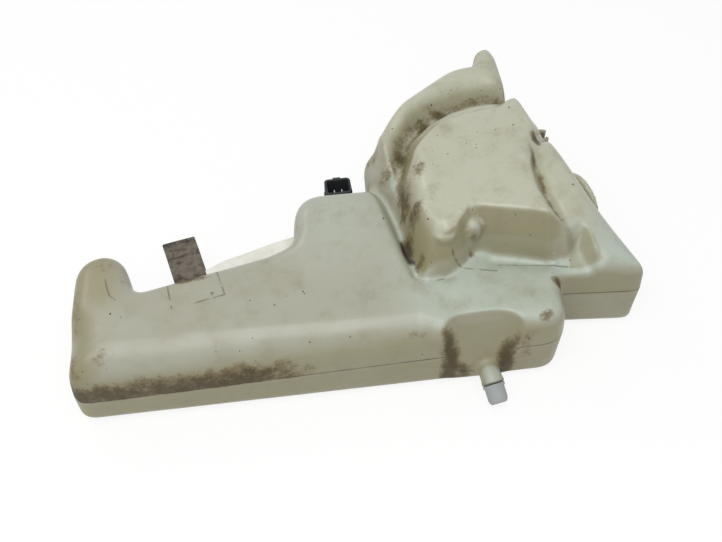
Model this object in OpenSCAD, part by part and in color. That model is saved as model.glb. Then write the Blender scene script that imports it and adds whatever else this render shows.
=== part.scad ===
// Washer fluid reservoir: a blow-moulded tank that lies on its back, with an electric pump
// pushed into a grommet behind the bulge and a fitting in the bent hose spout.
// Lengths are millimetres. X runs along the long arm, Z is up from the back of the tank.

/* [Tank outline] */
// Reach of the long arm, left of the datum
arm_reach = 236; // [224:1:250]
// Front edge of the arm, measured from the datum
arm_front = 80; // [76:1:86]
// Right-hand end of the arm's front edge
arm_end = 148; // [142:1:154]
// Front edge of the tall block
block_front = 46; // [42:1:50]
// Reach of the block's front corner to the right
right_reach = 224; // [216:1:234]
// Rear edge of the tall block at its ridge
block_rear = 166; // [160:1:174]
// Left-hand side of the tall block
block_left = 16; // [14:1:19]
// Length of the locating peg beyond the ridge
peg_length = 27; // [20:1:34]
// Width of the locating peg at its foot
peg_width = 27; // [24:1:31]
// Rear edge of the bulge over the pump
bulge_rear = 58; // [55:1:62]
// Left-hand side of the bulge
bulge_left = 52; // [48:1:57]
// Rear edge of the end lobe
lobe_rear = 30; // [26:1:36]
// Width of the end lobe
lobe_width = 40; // [36:1:46]

/* [Tank heights] */
// Height of the arm's broad face
face_height = 76; // [72:1:80]
// Height of the bulge over the pump
bulge_height = 86; // [82:1:90]
// Height of the ridge round the tall block
ridge_height = 113; // [109:1:116]
// Height of the flat plateau on the tall block
plateau_height = 122; // [119:1:126]
// Height of the moulding seam at the front left corner
seam_height = 26; // [22:1:30]
// Thickness of the moulded wall
wall = 2.5; // [2:0.1:3]
// Rounding of the arm's front edge
front_round = 32; // [26:1:36]
// Rounding of the other edges of the face
edge_round = 14; // [11:1:16]
// Rounding of the edges of the back
back_round = 13; // [10:1:15]

/* [Tank fittings] */
// Outside radius of the hose spout
spout_r = 8.5; // [7.8:0.1:9]
// Wall of the hose spout
spout_wall = 2; // [1.6:0.1:2.4]
// Downward bend of the hose spout
spout_bend = 30; // [22:1:31]
// Outside radius of the filler collar's neck
collar_r = 20; // [18:0.5:22]
// Bore radius of the filler collar
collar_bore_r = 17; // [15:0.5:17.5]
// Distance that the filler collar stands out
collar_out = 15; // [12:1:18]
// Width of the fixing tongue
tongue_width = 27; // [22:1:32]
// Length of the fixing tongue beyond the edge
tongue_length = 53; // [46:1:58]
// Thickness of the fixing tongue and its web
tongue_thick = 3; // [2.4:0.1:3.6]
// Radius of the hose that the clip holds
clip_hose_r = 3.8; // [3:0.1:4.4]

/* [Pump] */
// Outside radius of the pump's barrel
pump_r = 14; // [13.5:0.1:15]
// Length of the pump's barrel
pump_length = 45; // [43:0.5:50]
// Radius of the pump's inlet pipe
inlet_r = 7; // [6.5:0.1:7.4]
// Radius of the motor shaft
shaft_r = 1; // [0.8:0.05:1.3]
// Height of the pump's axis above the back of the tank
pump_height = 30; // [29.5:0.5:33]
// Width of the plug socket
socket_width = 22; // [20:0.5:24]
// Depth of the plug socket along the barrel
socket_depth = 17; // [15:0.5:19]
// Height of the plug socket's rim above the pump's axis
socket_rise = 33; // [31:0.5:36]

/* [Hidden] */
$fn = 48;
// Overlap that keeps a cut clear of the face it leaves
cut = 1;
// Radial room of a push fit, and of a part that turns
push_fit = 0.05;
run_fit = 0.03;
// Radial room left in a pressed joint
press_fit = 0.01;

// Corners of the outline at the seam: [x, y, set-back of the rounding]
front_rise = 10;
slant_foot = [right_reach - 28, 0];
slant_head = [right_reach - 63, 95];
peg_right = [block_left + 133, block_rear - 42];
notch_rear = -9;
notch_x = lobe_width - arm_reach + 18;
outline_corners = [
    [-arm_reach, -arm_front, 18],
    [arm_end, -arm_front - front_rise, 20],
    [arm_end + 3, -block_front, 6],
    [right_reach, -block_front - 8, 16],
    [slant_foot.x, slant_foot.y, 20],
    [slant_head.x, slant_head.y, 14],
    [peg_right.x + 4, peg_right.y - 7, 6],
    [peg_right.x - 1, peg_right.y, 4],
    [peg_right.x - 2, block_rear + peg_length * 0.2, 9],
    [peg_right.x - peg_width / 2, block_rear + peg_length, 10],
    [peg_right.x - peg_width, block_rear, 7],
    [peg_right.x - peg_width - 18, block_rear, 16],
    [block_left + 26, block_rear - 42, 16],
    [block_left + 13, block_rear - 60, 8],
    [block_left + 1, block_rear - 70, 7],
    [block_left, bulge_rear - 1, 6],
    [6 - bulge_left, bulge_rear + 1, 24],
    [-bulge_left - 1, notch_rear + 23, 7],
    [notch_x, notch_rear, 8],
    [notch_x - 9, lobe_rear, 18],
    [13 - arm_reach, lobe_rear, 24]
];

// Top edges of the tall block and of its plateau
block_top = [
    [48, -27], [62, -26], [71, -20], [82, -4], [92, -5], [128, -15], [142, -20], [153, -18],
    [165, -14], [173, -11], [177, -14], [179, -22], [181, -43], [183, -90], [300, -90], [300, 300],
    [31, 300], [32, 80], [40, 45], [37, 20], [43, 2], [46, -15]
];
plateau_top = [
    [54, 64], [80, 87], [105, 93], [132, 96], [146, 108], [153, 62], [139, 32], [137, 8],
    [142, -22], [128, -17], [92, -7], [82, -6], [70, -17], [55, -16], [46, 2], [39, 20], [43, 43]
];
// Valleys pressed into the face: the groove inside the ridge, the hose channel beside the plateau,
// the crevice beside the bulge and the trench at the foot of the block
ridge_groove = [
    [146, 122], [127, 126], [109, 125], [87, 119], [67, 108], [51, 92], [42, 68], [37, 42], [37, 18]
];
hose_channel = [[162, 74], [152, 58], [147, 42], [148, 27], [150, 12], [153, 0], [155, -8]];
bulge_crevice = [[20, 66], [28, 42], [33, 16], [38, -8], [43, -27]];
trench_left = [[43, -30], [60, -34]];
trench_right = [[100, -26], [140, -34], [180, -40]];

flank_round = 20;
// Knobs on the wall under the plateau: [x, y, radius, height]
knobs = [[62, -25, 6, 8], [84, -13, 5.5, 13]];
// Fall of the block's walls, steep at the left and easy at the right-hand end of the trench
wall_fall = 2.7;
end_fall = 1.2;
end_start = 146;
end_run = 14;

// Flat dish pressed into the front edge round the hose spout
dish_x = 88;
dish_half = 52;
dish_foot = [-arm_front - front_rise, 8];
dish_slope = 4.5;

// Resolution of the lofted skin
corner_steps = 3;
station_gap = 7.5;
front_steps = [0, 1, 4, 11, 20];
rear_steps = [0, 1, 4, 10];
back_steps = [0, 2, 9];
face_rows = [3, 17, 7];
back_rows = [1, 1, 1];
row_band = [-38, 88];
// How far round a point of the cavity the front is looked at beside a valley, and how near that is
cavity_gap = 12;
cavity_reach = 7;
valley_band = 16;

// Pump recess behind the bulge, and what the pump's parts share
pump_x = -6.5;
niche_r = pump_r + 3.5;
niche_y = bulge_rear - 35;
grommet_hole_r = inlet_r + 3;
grommet_lip = 3;
base_z = grommet_lip;
base_floor = 2;
chamber_depth = 8;
chamber_r = pump_r - 3;
plate_z = base_z + base_floor + chamber_depth;
plate_thick = 2.5;
plate_r = pump_r - 2;
base_top = plate_z + plate_thick + 1.5;
seal_r = shaft_r + 3;
seal_thick = 2;
bush_r = shaft_r + 2;
bush_length = 3.5;
cover_wall = 1;
cover_r = pump_r - cover_wall;
can_wall = 0.8;
can_r = cover_r - push_fit;
can_z = base_top + 3;
can_length = 26;
magnet_wall = 2;
magnet_r = can_r - can_wall - push_fit;
armature_r = magnet_r - magnet_wall - 0.5;
core_z = can_z + 5;
core_length = 16;
card_z = can_z + can_length;
card_thick = 1.5;
card_r = cover_r - push_fit;
commutator_r = shaft_r + 2.2;
commutator_z = card_z + card_thick + 0.5;
commutator_length = 5.5;
cover_end = base_top + pump_length;
end_wall = 2;
bush_z = cover_end - end_wall - bush_length;
impeller_z = base_z + base_floor + 1;
impeller_height = chamber_depth - 2;
impeller_r = chamber_r - 1.5;
socket_wall = 1.8;
socket_z = cover_end + 6 - socket_depth;
socket_floor = pump_r + 3;
blade_x = 3.2;
blade_size = [0.8, 2.8];
blade_z = socket_z + socket_depth / 2 - blade_size[1] / 2;
blade_reach = 10;
blade_foot = cover_r + 0.5;
inlet_length = 14;
inlet_bore_r = inlet_r - 2.5;
outlet_r = 3.2;
outlet_bore_r = 1.8;
outlet_reach = pump_height - 3;
strainer_length = 14;
strainer_grip = 4;
strainer_wall = 1.2;
strainer_slots = 12;
impeller_vanes = 6;
poles = 3;
hub_r = shaft_r + 2.5;
pole_neck = 3.4;
pole_shoe = 1.6;
coil_room = 0.25;
coil_turn = 2.4;
magnet_arc = 130;
brush_size = [3, 3];
brush_z = commutator_z + 1;
brush_reach = commutator_r + 5.5;
brush_holder = 5.5;

// Position and size of the hose spout
spout_lead = 15;
spout_radius = 16;
spout_tail = 5;
spout_yaw = 10.5;
spout_root = [84.3, 6 - arm_front, 20];
fitting_length = 15.5;
fitting_r = spout_r - 0.6;
fitting_bore_r = spout_r - spout_wall - 1.8;
shank_length = 5;
spout_sides = 20;

function unit(v) = v / norm(v);
function ramp(t) = let (u = min(1, max(0, t))) u * u * (3 - 2 * u);
function bell(t) = exp(-t * t);
// Soft maximum and minimum: the larger or smaller of two heights, blended over a band k
function over(a, b, k) = (a + b + sqrt((a - b) * (a - b) + k * k)) / 2;
function under(a, b, k) = (a + b - sqrt((a - b) * (a - b) + k * k)) / 2;
function plan(c) = [c[0], c[1]];

// A rounded outline: each corner is a quadratic curve between its two set-back points
function rounded(corners) = let (n = len(corners)) [
    for (i = [0:n - 1])
        let (p = plan(corners[i]),
             a = p + unit(plan(corners[(i + n - 1) % n]) - p) * corners[i][2],
             b = p + unit(plan(corners[(i + 1) % n]) - p) * corners[i][2])
        for (k = [0:corner_steps])
            let (t = k / corner_steps)
            a * (1 - t) * (1 - t) + p * 2 * t * (1 - t) + b * t * t
];

// The same corners moved inwards by a distance
function inset(corners, d) = let (n = len(corners)) [
    for (i = [0:n - 1])
        let (p = plan(corners[i]),
             u = unit(p - plan(corners[(i + n - 1) % n])),
             v = unit(plan(corners[(i + 1) % n]) - p),
             nu = [-u.y, u.x],
             nv = [-v.y, v.x],
             q = p + (nu + nv) * d / (1 + nu * nv))
        [q.x, q.y, corners[i][2]]
];

function segment_distance(p, a, b) =
    let (ab = b - a, t = min(1, max(0, ((p - a) * ab) / (ab * ab)))) norm(p - a - ab * t);
function path_distance(p, path) =
    min([for (i = [0:len(path) - 2]) segment_distance(p, path[i], path[i + 1])]);
function ring_distance(p, ring) =
    min([for (i = [0:len(ring) - 1]) segment_distance(p, ring[i], ring[(i + 1) % len(ring)])]);
function is_inside(p, ring) =
    let (n = len(ring))
    len([for (i = [0:n - 1])
        let (a = ring[i], b = ring[(i + 1) % n])
        if ((a.y > p.y) != (b.y > p.y) && p.x < (b.x - a.x) * (p.y - a.y) / (b.y - a.y) + a.x) 1]) % 2 == 1;
// Distance outside a ring, zero within it
function outside(p, ring) = is_inside(p, ring) ? 0 : ring_distance(p, ring);

// Height of the dish round the spout, which cuts the front edge
function dish(p) =
    dish_foot[1] + dish_slope * (p.y - dish_foot[0]) + 60 * pow((p.x - dish_x) / dish_half, 4);

// Height of the moulding seam, a tilted plane that levels off at the back and dips at the dish
function seam(p) =
    let (plane = seam_height + 0.0385 * (p.x + arm_reach - 24) + 0.33 * (p.y + arm_front))
    under(under(plane, 62, 4), dish(p) - 1, 2);

// Height of the tall block: sloping right-hand face, ridge, plateau, groove and hose channel
function block(p) =
    let (slope = 80 + 0.27 * (p.y + 47) + 0.15 * (200 - p.x),
         top = under(slope, ridge_height, 6),
         flat = plateau_height - 1.3 * outside(p, plateau_top),
         body = over(top, flat, 3),
         fall = wall_fall - (wall_fall - end_fall) * ramp((p.x - end_start) / end_run),
         bumps = [for (k = knobs) k[3] * bell(norm(p - plan(k)) / k[2])])
    body - 22 * bell(path_distance(p, ridge_groove) / 10) - 8 * bell(path_distance(p, hose_channel) / 6)
         - fall * outside(p, block_top) + bumps[0] + bumps[1];

// Height of the whole front before its edges are rounded
function face(p) =
    let (across = ramp((p.x + 80) / 40) * ramp((70 - p.x) / 30),
         rise = (bulge_height - face_height) * ramp((p.y + 35) / 60) * across,
         slab = face_height + 0.03 * (p.y + arm_front) + rise,
         valleys = 15 * bell(path_distance(p, bulge_crevice) / 7)
             + 7 * bell(path_distance(p, trench_left) / 8)
             + 7 * bell(path_distance(p, trench_right) / 8))
    under(p.x < -40 ? slab : over(slab, block(p), 5) - valleys, dish(p), 5);

// Rise of a wall at distance d inside the outline: drafted side, then a quarter round of radius r
function side(d, h, r) =
    let (q = min(r, h * 0.9), straight = h - q, lean = straight * 0.06, s = d - lean)
    s < 0 ? straight * d / lean : s < q ? straight + sqrt(q * q - (q - s) * (q - s)) : h;

// Rounding of the face's edges: large along the arm's front and on the block's left flank
function face_round(p) =
    edge_round + (front_round - edge_round) * ramp((-20 - p.y) / 25) * ramp((arm_end - p.x) / 20)
    + flank_round * ramp((60 - p.x) / 30) * ramp((p.y - 62) / 15);
function front_z(p, ring) =
    let (z = seam(p)) z + side(ring_distance(p, ring), max(3, face(p) - z), face_round(p));
function back_z(p, ring) =
    let (z = seam(p)) z - side(ring_distance(p, ring), max(3, z), back_round);

// Lowest front height and highest back height round a point, for the cavity behind the wall
compass = [for (a = [0:45:315]) [cos(a), sin(a)]];
pocket_edge = [for (i = [2:9]) block_top[i]];
valleys = [ridge_groove, bulge_crevice, trench_left, trench_right, pocket_edge];
function near_valley(p) =
    p.x > block_left - valley_band && min([for (v = valleys) path_distance(p, v)]) < valley_band;
function inner_back(p, ring, shy) =
    let (reach = p.x > 0 && p.y < -block_front ? wall : 2 * wall)
    max(back_z(p, ring) + wall + 0.5, max([for (c = compass) back_z(p + c * reach, ring)]) + 0.5) + shy;
function inner_front(p, ring, shy) =
    let (rough = near_valley(p),
         reach = rough ? cavity_reach : 1.5 * wall,
         spare = rough ? 1.6 * wall : 1,
         low = min([for (c = compass) front_z(p + c * reach, ring)]) - spare)
    max(inner_back(p, ring, shy) + 0.5, min(front_z(p, ring) - wall, low) - shy);

// Where a line across the outline at x enters and leaves it
function crossings(x, ring) = let (n = len(ring)) [
    for (i = [0:n - 1])
        let (a = ring[i], b = ring[(i + 1) % n])
        if ((a.x - x) * (b.x - x) <= 0 && a.x != b.x) a.y + (b.y - a.y) * (x - a.x) / (b.x - a.x)
];

function sorted(v) = len(v) <= 1 ? v :
    let (m = v[floor(len(v) / 2)])
    concat(sorted([for (a = v) if (a < m) a]), [m], sorted([for (a = v) if (a > m) a]));
// Places of the sections: every corner of the outline, and more where they lie far apart
function thinned(v, gap, i = 0, last = -1e6) = i >= len(v) ? [] :
    v[i] - last < gap ? thinned(v, gap, i + 1, last) : concat([v[i]], thinned(v, gap, i + 1, v[i]));
function filled(v, gap) = [
    for (i = [0:len(v) - 2])
        let (n = ceil((v[i + 1] - v[i]) / (v[i] < block_left - 6 ? 2 * gap : gap)))
        for (k = [0:n - 1]) v[i] + (v[i + 1] - v[i]) * k / n,
    v[len(v) - 1]
];
function stations(ring, close, far) =
    let (xs = sorted([for (p = ring) p.x]), lo = xs[0] + 0.5, hi = xs[len(xs) - 1] - 0.5)
    filled(concat([lo], thinned([for (x = xs) if (x > lo + close && x < hi - close) x], close), [hi]), far);

// Rows across one section: close together at both edges, and at the same places on every section
// in a band between them
function rows(lo, hi, near, away, n) =
    let (k = min(1, (hi - lo) / (near[len(near) - 1] + away[len(away) - 1]) * 0.8),
         a = lo + k * near[len(near) - 1],
         b = hi - k * away[len(away) - 1],
         w = b - a,
         c = min(max(row_band[0], a + 0.12 * w), a + 0.45 * w),
         d = max(min(row_band[1], b - 0.2 * w), a + 0.55 * w))
    concat([for (s = near) lo + k * s],
           [for (i = [1:n[0]]) a + (c - a) * i / n[0]],
           [for (i = [1:n[1]]) c + (d - c) * i / n[1]],
           n[2] > 1 ? [for (i = [1:n[2] - 1]) d + (b - d) * i / n[2]] : [],
           [for (i = [len(away) - 1:-1:0]) hi - k * away[i]]);

// Middle of a ring of points
function middle(ring) = [for (p = ring) 1] * ring / len(ring);
// Flat end of a ring of m points: a fan from the point c, or strips where the first k points face the rest
function end_faces(m, k, c) = k == 0
    ? [for (j = [0:m - 1]) [c, j, (j + 1) % m]]
    : [for (i = [0:k - 2])
          let (a = m - 1 - floor(i * (m - k - 1) / (k - 1)),
               b = m - 1 - floor((i + 1) * (m - k - 1) / (k - 1)))
          each concat([[i, i + 1, a]], b < a ? [[i + 1, b, a]] : [])];

// Closed skin through rings of points, with flat ends
module loft(rings, k = 0) {
    m = len(rings[0]);
    n = len(rings);
    last = [(n - 1) * m, (n - 1) * m, (n - 1) * m];
    sides = [
        for (i = [0:n - 2])
            for (j = [0:m - 1])
                let (a = i * m + j, b = i * m + (j + 1) % m)
                each [[a, b, b + m], [a, b + m, a + m]]
    ];
    first_end = [for (t = end_faces(m, k, n * m)) [t[2], t[1], t[0]]];
    last_end = [for (t = end_faces(m, k, m + 1)) last + t];
    middles = k == 0 ? [middle(rings[0]), middle(rings[n - 1])] : [];
    polyhedron(concat([for (r = rings) each r], middles), concat(sides, first_end, last_end), convexity = 12);
}

module skin() {
    ring = rounded(outline_corners);
    loft([
        for (x = stations(ring, 3.6, station_gap))
            let (ys = crossings(x, ring), lo = min(ys), hi = max(ys),
                 up = rows(lo, hi, front_steps, rear_steps, face_rows),
                 down = rows(lo, hi, back_steps, back_steps, back_rows))
            concat([for (y = up) [x, y, front_z([x, y], ring)]],
                   [for (i = [len(down) - 2:-1:1]) [x, down[i], back_z([x, down[i]], ring)]])
    ]);
}

// How far a chamber draws back where another overlaps it: [direction, start, run, front depth, back depth]
function shyness(p, s, side) = s[3 + side] * ramp((p * s[0] - s[1]) / s[2]);
// One chamber of the cavity inside its own plain outline
module chamber(corners, gap, n, meet) {
    ring = rounded(outline_corners);
    shrunk = rounded(inset(corners, wall + 0.8));
    loft([
        for (x = stations(shrunk, 5, gap))
            let (ys = crossings(x, shrunk), lo = min(ys), hi = max(ys),
                 up = rows(lo, hi, [0, 4, 12], [0, 4, 9], n),
                 down = rows(lo, hi, [0, 6], [0, 6], back_rows))
            concat([for (y = up) [x, y, inner_front([x, y], ring, shyness([x, y], meet, 0))]],
                   [for (i = [len(down) - 1:-1:0])
                       [x, down[i], inner_back([x, down[i]], ring, shyness([x, down[i]], meet, 1))]])
    ], len(rows(0, 99, [0, 4, 12], [0, 4, 9], n)));
}

module cavity() {
    chamber([
        [-arm_reach, -arm_front, 18],
        [arm_end, -arm_front - front_rise, 20],
        [arm_end, notch_rear + 15, 14],
        [-bulge_left - 1, notch_rear + 9, 2],
        [notch_x + 5, notch_rear - 11, 6],
        [-arm_reach + 9, notch_rear - 6, 10]
    ], cavity_gap, [1, 5, 1], [[1, 0], block_left, 15, 2.5, 0]);
    chamber([
        [block_left + 14, -block_front + 10, 6],
        [arm_end + 6, -block_front + 10, 3],
        [arm_end + 14, -block_front + 3, 3],
        [right_reach - 1, -block_front - 2, 16],
        [slant_foot.x, slant_foot.y, 20],
        [slant_head.x - 2, slant_head.y - 16, 12],
        [peg_right.x - 16, peg_right.y - 4, 12],
        [peg_right.x - peg_width - 5, block_rear - 10, 10],
        [peg_right.x - peg_width - 19, block_rear - 8, 12],
        [block_left + 31, block_rear - 46, 16],
        [block_left + 15, block_rear - 70, 10]
    ], 0.6 * cavity_gap, [2, 13, 6], [[1, 0], 0, 1, 0, 1.5]);
    chamber([
        [-bulge_left - 1, -block_front + 12, 8],
        [block_left - 1, -block_front + 12, 8],
        [block_left - 3, bulge_rear - 3, 4],
        [9 - bulge_left, bulge_rear - 1, 24]
    ], 0.8 * cavity_gap, [1, 6, 1], [[0, -1], -6, 8, 2, 2]);
    chamber([
        [-arm_reach + 7, -arm_front + 40, 12],
        [notch_x - 6, -arm_front + 40, 8],
        [notch_x - 9, lobe_rear, 18],
        [13 - arm_reach, lobe_rear, 24]
    ], 0.5 * cavity_gap, [1, 3, 1], [[0, -1], 12, 6, 2, 2]);
}

// Frame at the pump's seat: Z runs out of the tank along the pump's axis, -Y is the tank's front
module on_pump_axis() {
    translate([pump_x, niche_y, pump_height]) rotate([-90, 0, 0]) children();
}

// Recess for the pump, open at the back and at the rear edge, grown by a margin
module niche(margin) {
    r = niche_r + margin;
    depth = bulge_rear - niche_y + 60;
    translate([pump_x, niche_y - margin, pump_height]) rotate([-90, 0, 0]) cylinder(r = r, h = depth);
    translate([pump_x - r, niche_y - margin, -10]) cube([2 * r, depth, pump_height + 10]);
}

// Frames along the hose spout: its root, and the mouth where the fitting enters
module at_spout_root() {
    translate(spout_root) rotate([0, 0, spout_yaw]) children();
}
module at_spout_mouth() {
    at_spout_root()
        translate([0, -spout_lead - spout_radius * sin(spout_bend), -spout_radius * (1 - cos(spout_bend))])
        rotate([90 + spout_bend, 0, 0]) translate([0, 0, spout_tail]) children();
}
// One ring of the spout: bent so far by an angle, then straight on by a length
function spout_ring(r, bend, on) =
    let (base = [0, -spout_lead - spout_radius * sin(bend), -spout_radius * (1 - cos(bend))],
         ahead = [0, -cos(bend), -sin(bend)],
         up = [0, -sin(bend), cos(bend)])
    [for (k = [0:spout_sides - 1])
        let (a = k * 360 / spout_sides) base + ahead * on + [r * cos(a), 0, 0] - up * r * sin(a)];
// Tube along the spout's centre line, from behind its root to short of or beyond its mouth
module spout_run(r, behind, beyond) {
    at_spout_root() loft(concat(
        [spout_ring(r, 0, -spout_lead - behind)],
        [for (k = [0:5]) spout_ring(r, spout_bend * k / 5, 0)],
        [spout_ring(r, spout_bend, spout_tail + beyond)]
    ));
}

// Frame at the filler collar: Z points out of the slanted wall
slant = unit(slant_head - slant_foot);
collar_place = slant_foot + slant * 44;
collar_height = 50;
module at_collar() {
    translate([collar_place.x, collar_place.y, collar_height])
        rotate([0, 90, atan2(-slant.x, slant.y)]) children();
}

// Frame at the fixing tongue: X along the arm's rear edge, Y outwards
edge_a = [notch_x, notch_rear];
edge_b = [-bulge_left - 1, notch_rear + 23];
edge_angle = atan2(edge_b.y - edge_a.y, edge_b.x - edge_a.x);
tongue_place = edge_a + unit(edge_b - edge_a) * 45;
tongue_height = 56;
tongue_fold = 18;
module at_tongue() {
    translate([tongue_place.x, tongue_place.y, tongue_height]) rotate([0, 0, edge_angle]) children();
}

module tongue() {
    half = tongue_thick / 2;
    crease = tongue_length - tongue_fold;
    drop = tongue_fold * tan(8);
    at_tongue() {
        translate([-tongue_width / 2, 0, 0]) rotate([90, 0, 90]) linear_extrude(height = tongue_width)
            polygon([
                [-8, -half], [crease, -half], [tongue_length, -half - drop],
                [tongue_length, half - drop], [crease, half], [-8, half]
            ]);
        // Thin web between the tongue and the bulge
        translate([0, 0, -tongue_thick / 2]) linear_extrude(height = tongue_thick - 0.6)
            polygon([
                [tongue_width / 2 - 1, -6], [92, -6], [92, 22],
                [66, 17], [34, 15], [tongue_width / 2 - 1, 13]
            ]);
    }
}

// Open clip for a hose on the slanted edge
clip_place = slant_foot + slant * 86 + [-1.5, 0];
clip_height = 90;
clip_wall = 2.6;
module hose_clip() {
    translate([clip_place.x, clip_place.y, clip_height]) linear_extrude(height = 9) difference() {
        circle(r = clip_hose_r + clip_wall);
        circle(r = clip_hose_r);
        translate([0, -clip_hose_r * 0.7]) square([20, clip_hose_r * 1.4]);
    }
}

collar_bead = 2.9;
module tank() {
    color("#d8d8c6") difference() {
        union() {
            skin();
            tongue();
            hose_clip();
            spout_run(spout_r, 4, -0.5);
            at_spout_mouth() translate([0, 0, -3]) cylinder(r = spout_r + 0.8, h = 3);
            at_collar() {
                translate([0, 0, -10]) cylinder(r = collar_r, h = collar_out + 10);
                translate([0, 0, collar_out - 4]) cylinder(r = collar_r + collar_bead, h = 4);
            }
        }
        difference() {
            cavity();
            niche(wall);
        }
        niche(0);
        on_pump_axis() translate([0, 0, -wall - cut]) cylinder(r = grommet_hole_r, h = wall + 2 * cut);
        at_collar() translate([0, 0, -18]) cylinder(r = collar_bore_r, h = collar_out + 18 + cut);
        spout_run(spout_r - spout_wall - 0.5, 14, 0);
        at_spout_mouth() translate([0, 0, -shank_length - 0.3])
            cylinder(r = spout_r - spout_wall, h = shank_length + 0.3 + cut);
    }
}

// Ring round the pump's axis between two radii
module ring(r, bore, h) {
    difference() {
        cylinder(r = r, h = h);
        translate([0, 0, -cut]) cylinder(r = bore, h = h + 2 * cut);
    }
}

module hose_fitting() {
    shank_r = spout_r - spout_wall - push_fit;
    color("#949c9e") at_spout_mouth() rotate_extrude() polygon([
        [fitting_bore_r, -shank_length], [shank_r - 0.8, -shank_length], [shank_r, -shank_length + 2],
        [shank_r, 0], [fitting_r - 0.9, 0], [fitting_r - 0.9, 1.2], [fitting_r, 2.2],
        [fitting_r, fitting_length - 2], [fitting_r - 1.6, fitting_length], [fitting_bore_r, fitting_length]
    ]);
}

module pump_grommet() {
    color("#2b2b2b") on_pump_axis() rotate_extrude() polygon([
        [inlet_r, -wall - 3], [grommet_hole_r + 0.6, -wall - 3], [grommet_hole_r + 1.6, -wall],
        [grommet_hole_r - push_fit, -wall], [grommet_hole_r - push_fit, 0], [pump_r - 1, 0],
        [pump_r - 1, grommet_lip], [inlet_r, grommet_lip]
    ]);
}

// Slotted cup pushed over the end of the inlet pipe, inside the tank
module inlet_strainer() {
    cup_z = -inlet_length - strainer_length + strainer_grip;
    color("#e6e6e0") on_pump_axis() difference() {
        translate([0, 0, cup_z]) cylinder(r = inlet_r + strainer_wall, h = strainer_length);
        translate([0, 0, cup_z + strainer_wall]) cylinder(r = inlet_r, h = strainer_length);
        for (i = [0:strainer_slots - 1])
            rotate([0, 0, (i + 0.5) * 360 / strainer_slots])
                translate([inlet_r - 1, -0.6, cup_z + strainer_wall + 1])
                cube([strainer_wall + 2, 1.2, strainer_length - strainer_grip - strainer_wall - 2]);
    }
}

// Wet end of the pump: inlet pipe, impeller chamber and hose outlet
module pump_base() {
    outlet_z = base_z + base_floor + chamber_depth / 2;
    color("#26272a") on_pump_axis() difference() {
        union() {
            translate([0, 0, -inlet_length])
                cylinder(r = inlet_r - push_fit, h = inlet_length + base_z + cut);
            translate([0, 0, base_z]) cylinder(r = pump_r, h = base_top - base_z);
            translate([0, 0, outlet_z]) rotate([-90, 0, 0]) {
                cylinder(r = outlet_r, h = outlet_reach);
                translate([0, 0, outlet_reach - 4])
                    cylinder(r1 = outlet_r + 0.7, r2 = outlet_r - 0.2, h = 4);
            }
        }
        translate([0, 0, -inlet_length - cut])
            cylinder(r = inlet_bore_r, h = inlet_length + base_z + base_floor + 2 * cut);
        translate([0, 0, base_z + base_floor]) cylinder(r = chamber_r, h = chamber_depth + cut);
        translate([0, 0, plate_z]) cylinder(r = plate_r, h = base_top);
        translate([0, 0, outlet_z]) rotate([-90, 0, 0]) cylinder(r = outlet_bore_r, h = outlet_reach + cut);
    }
}

// Wall between the wet chamber and the motor, with seats for the seal and the lower bush
module volute_plate() {
    color("#35363a") on_pump_axis() difference() {
        union() {
            translate([0, 0, plate_z]) cylinder(r = plate_r - push_fit, h = plate_thick);
            translate([0, 0, plate_z]) cylinder(r = seal_r + 1.5, h = seal_thick + bush_length);
        }
        translate([0, 0, plate_z - cut]) cylinder(r = seal_r + push_fit, h = seal_thick + cut);
        translate([0, 0, plate_z]) cylinder(r = bush_r + push_fit, h = seal_thick + bush_length + cut);
    }
}

module shaft_seal() {
    color("#1c1c1c") on_pump_axis() translate([0, 0, plate_z]) ring(seal_r, shaft_r + run_fit, seal_thick);
}

module lower_bush() {
    color("#b08d4f") on_pump_axis() translate([0, 0, plate_z + seal_thick])
        ring(bush_r, shaft_r + run_fit, bush_length);
}

module upper_bush() {
    color("#b08d4f") on_pump_axis() translate([0, 0, bush_z]) ring(bush_r, shaft_r + run_fit, bush_length);
}

// Disc with straight vanes on a hub
module impeller() {
    color("#dcdcd4") on_pump_axis() translate([0, 0, impeller_z]) difference() {
        union() {
            cylinder(r = shaft_r + 1.8, h = impeller_height);
            translate([0, 0, impeller_height - 1.2]) cylinder(r = impeller_r, h = 1.2);
            for (i = [0:impeller_vanes - 1])
                rotate([0, 0, i * 360 / impeller_vanes])
                    translate([shaft_r + 0.8, -0.5, 0])
                    cube([impeller_r - shaft_r - 1.4, 1, impeller_height]);
        }
        translate([0, 0, -cut]) cylinder(r = shaft_r + press_fit, h = impeller_height + 2 * cut);
    }
}

module motor_shaft() {
    color("#c9ccd0") on_pump_axis() translate([0, 0, impeller_z + 0.5])
        cylinder(r = shaft_r, h = bush_z + bush_length - 0.5 - impeller_z - 0.5);
}

// Stack of three-pole laminations
module armature_core() {
    color("#8e9296") on_pump_axis() translate([0, 0, core_z])
        linear_extrude(height = core_length) difference() {
        union() {
            circle(r = hub_r);
            for (i = [0:poles - 1])
                rotate(i * 360 / poles)
                    translate([0, -pole_neck / 2]) square([armature_r - 1, pole_neck]);
            difference() {
                circle(r = armature_r);
                circle(r = armature_r - pole_shoe);
                for (i = [0:poles - 1])
                    rotate((i + 0.5) * 360 / poles) translate([0, -1.2]) square([armature_r + cut, 2.4]);
            }
        }
        circle(r = shaft_r + press_fit);
    }
}

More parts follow.
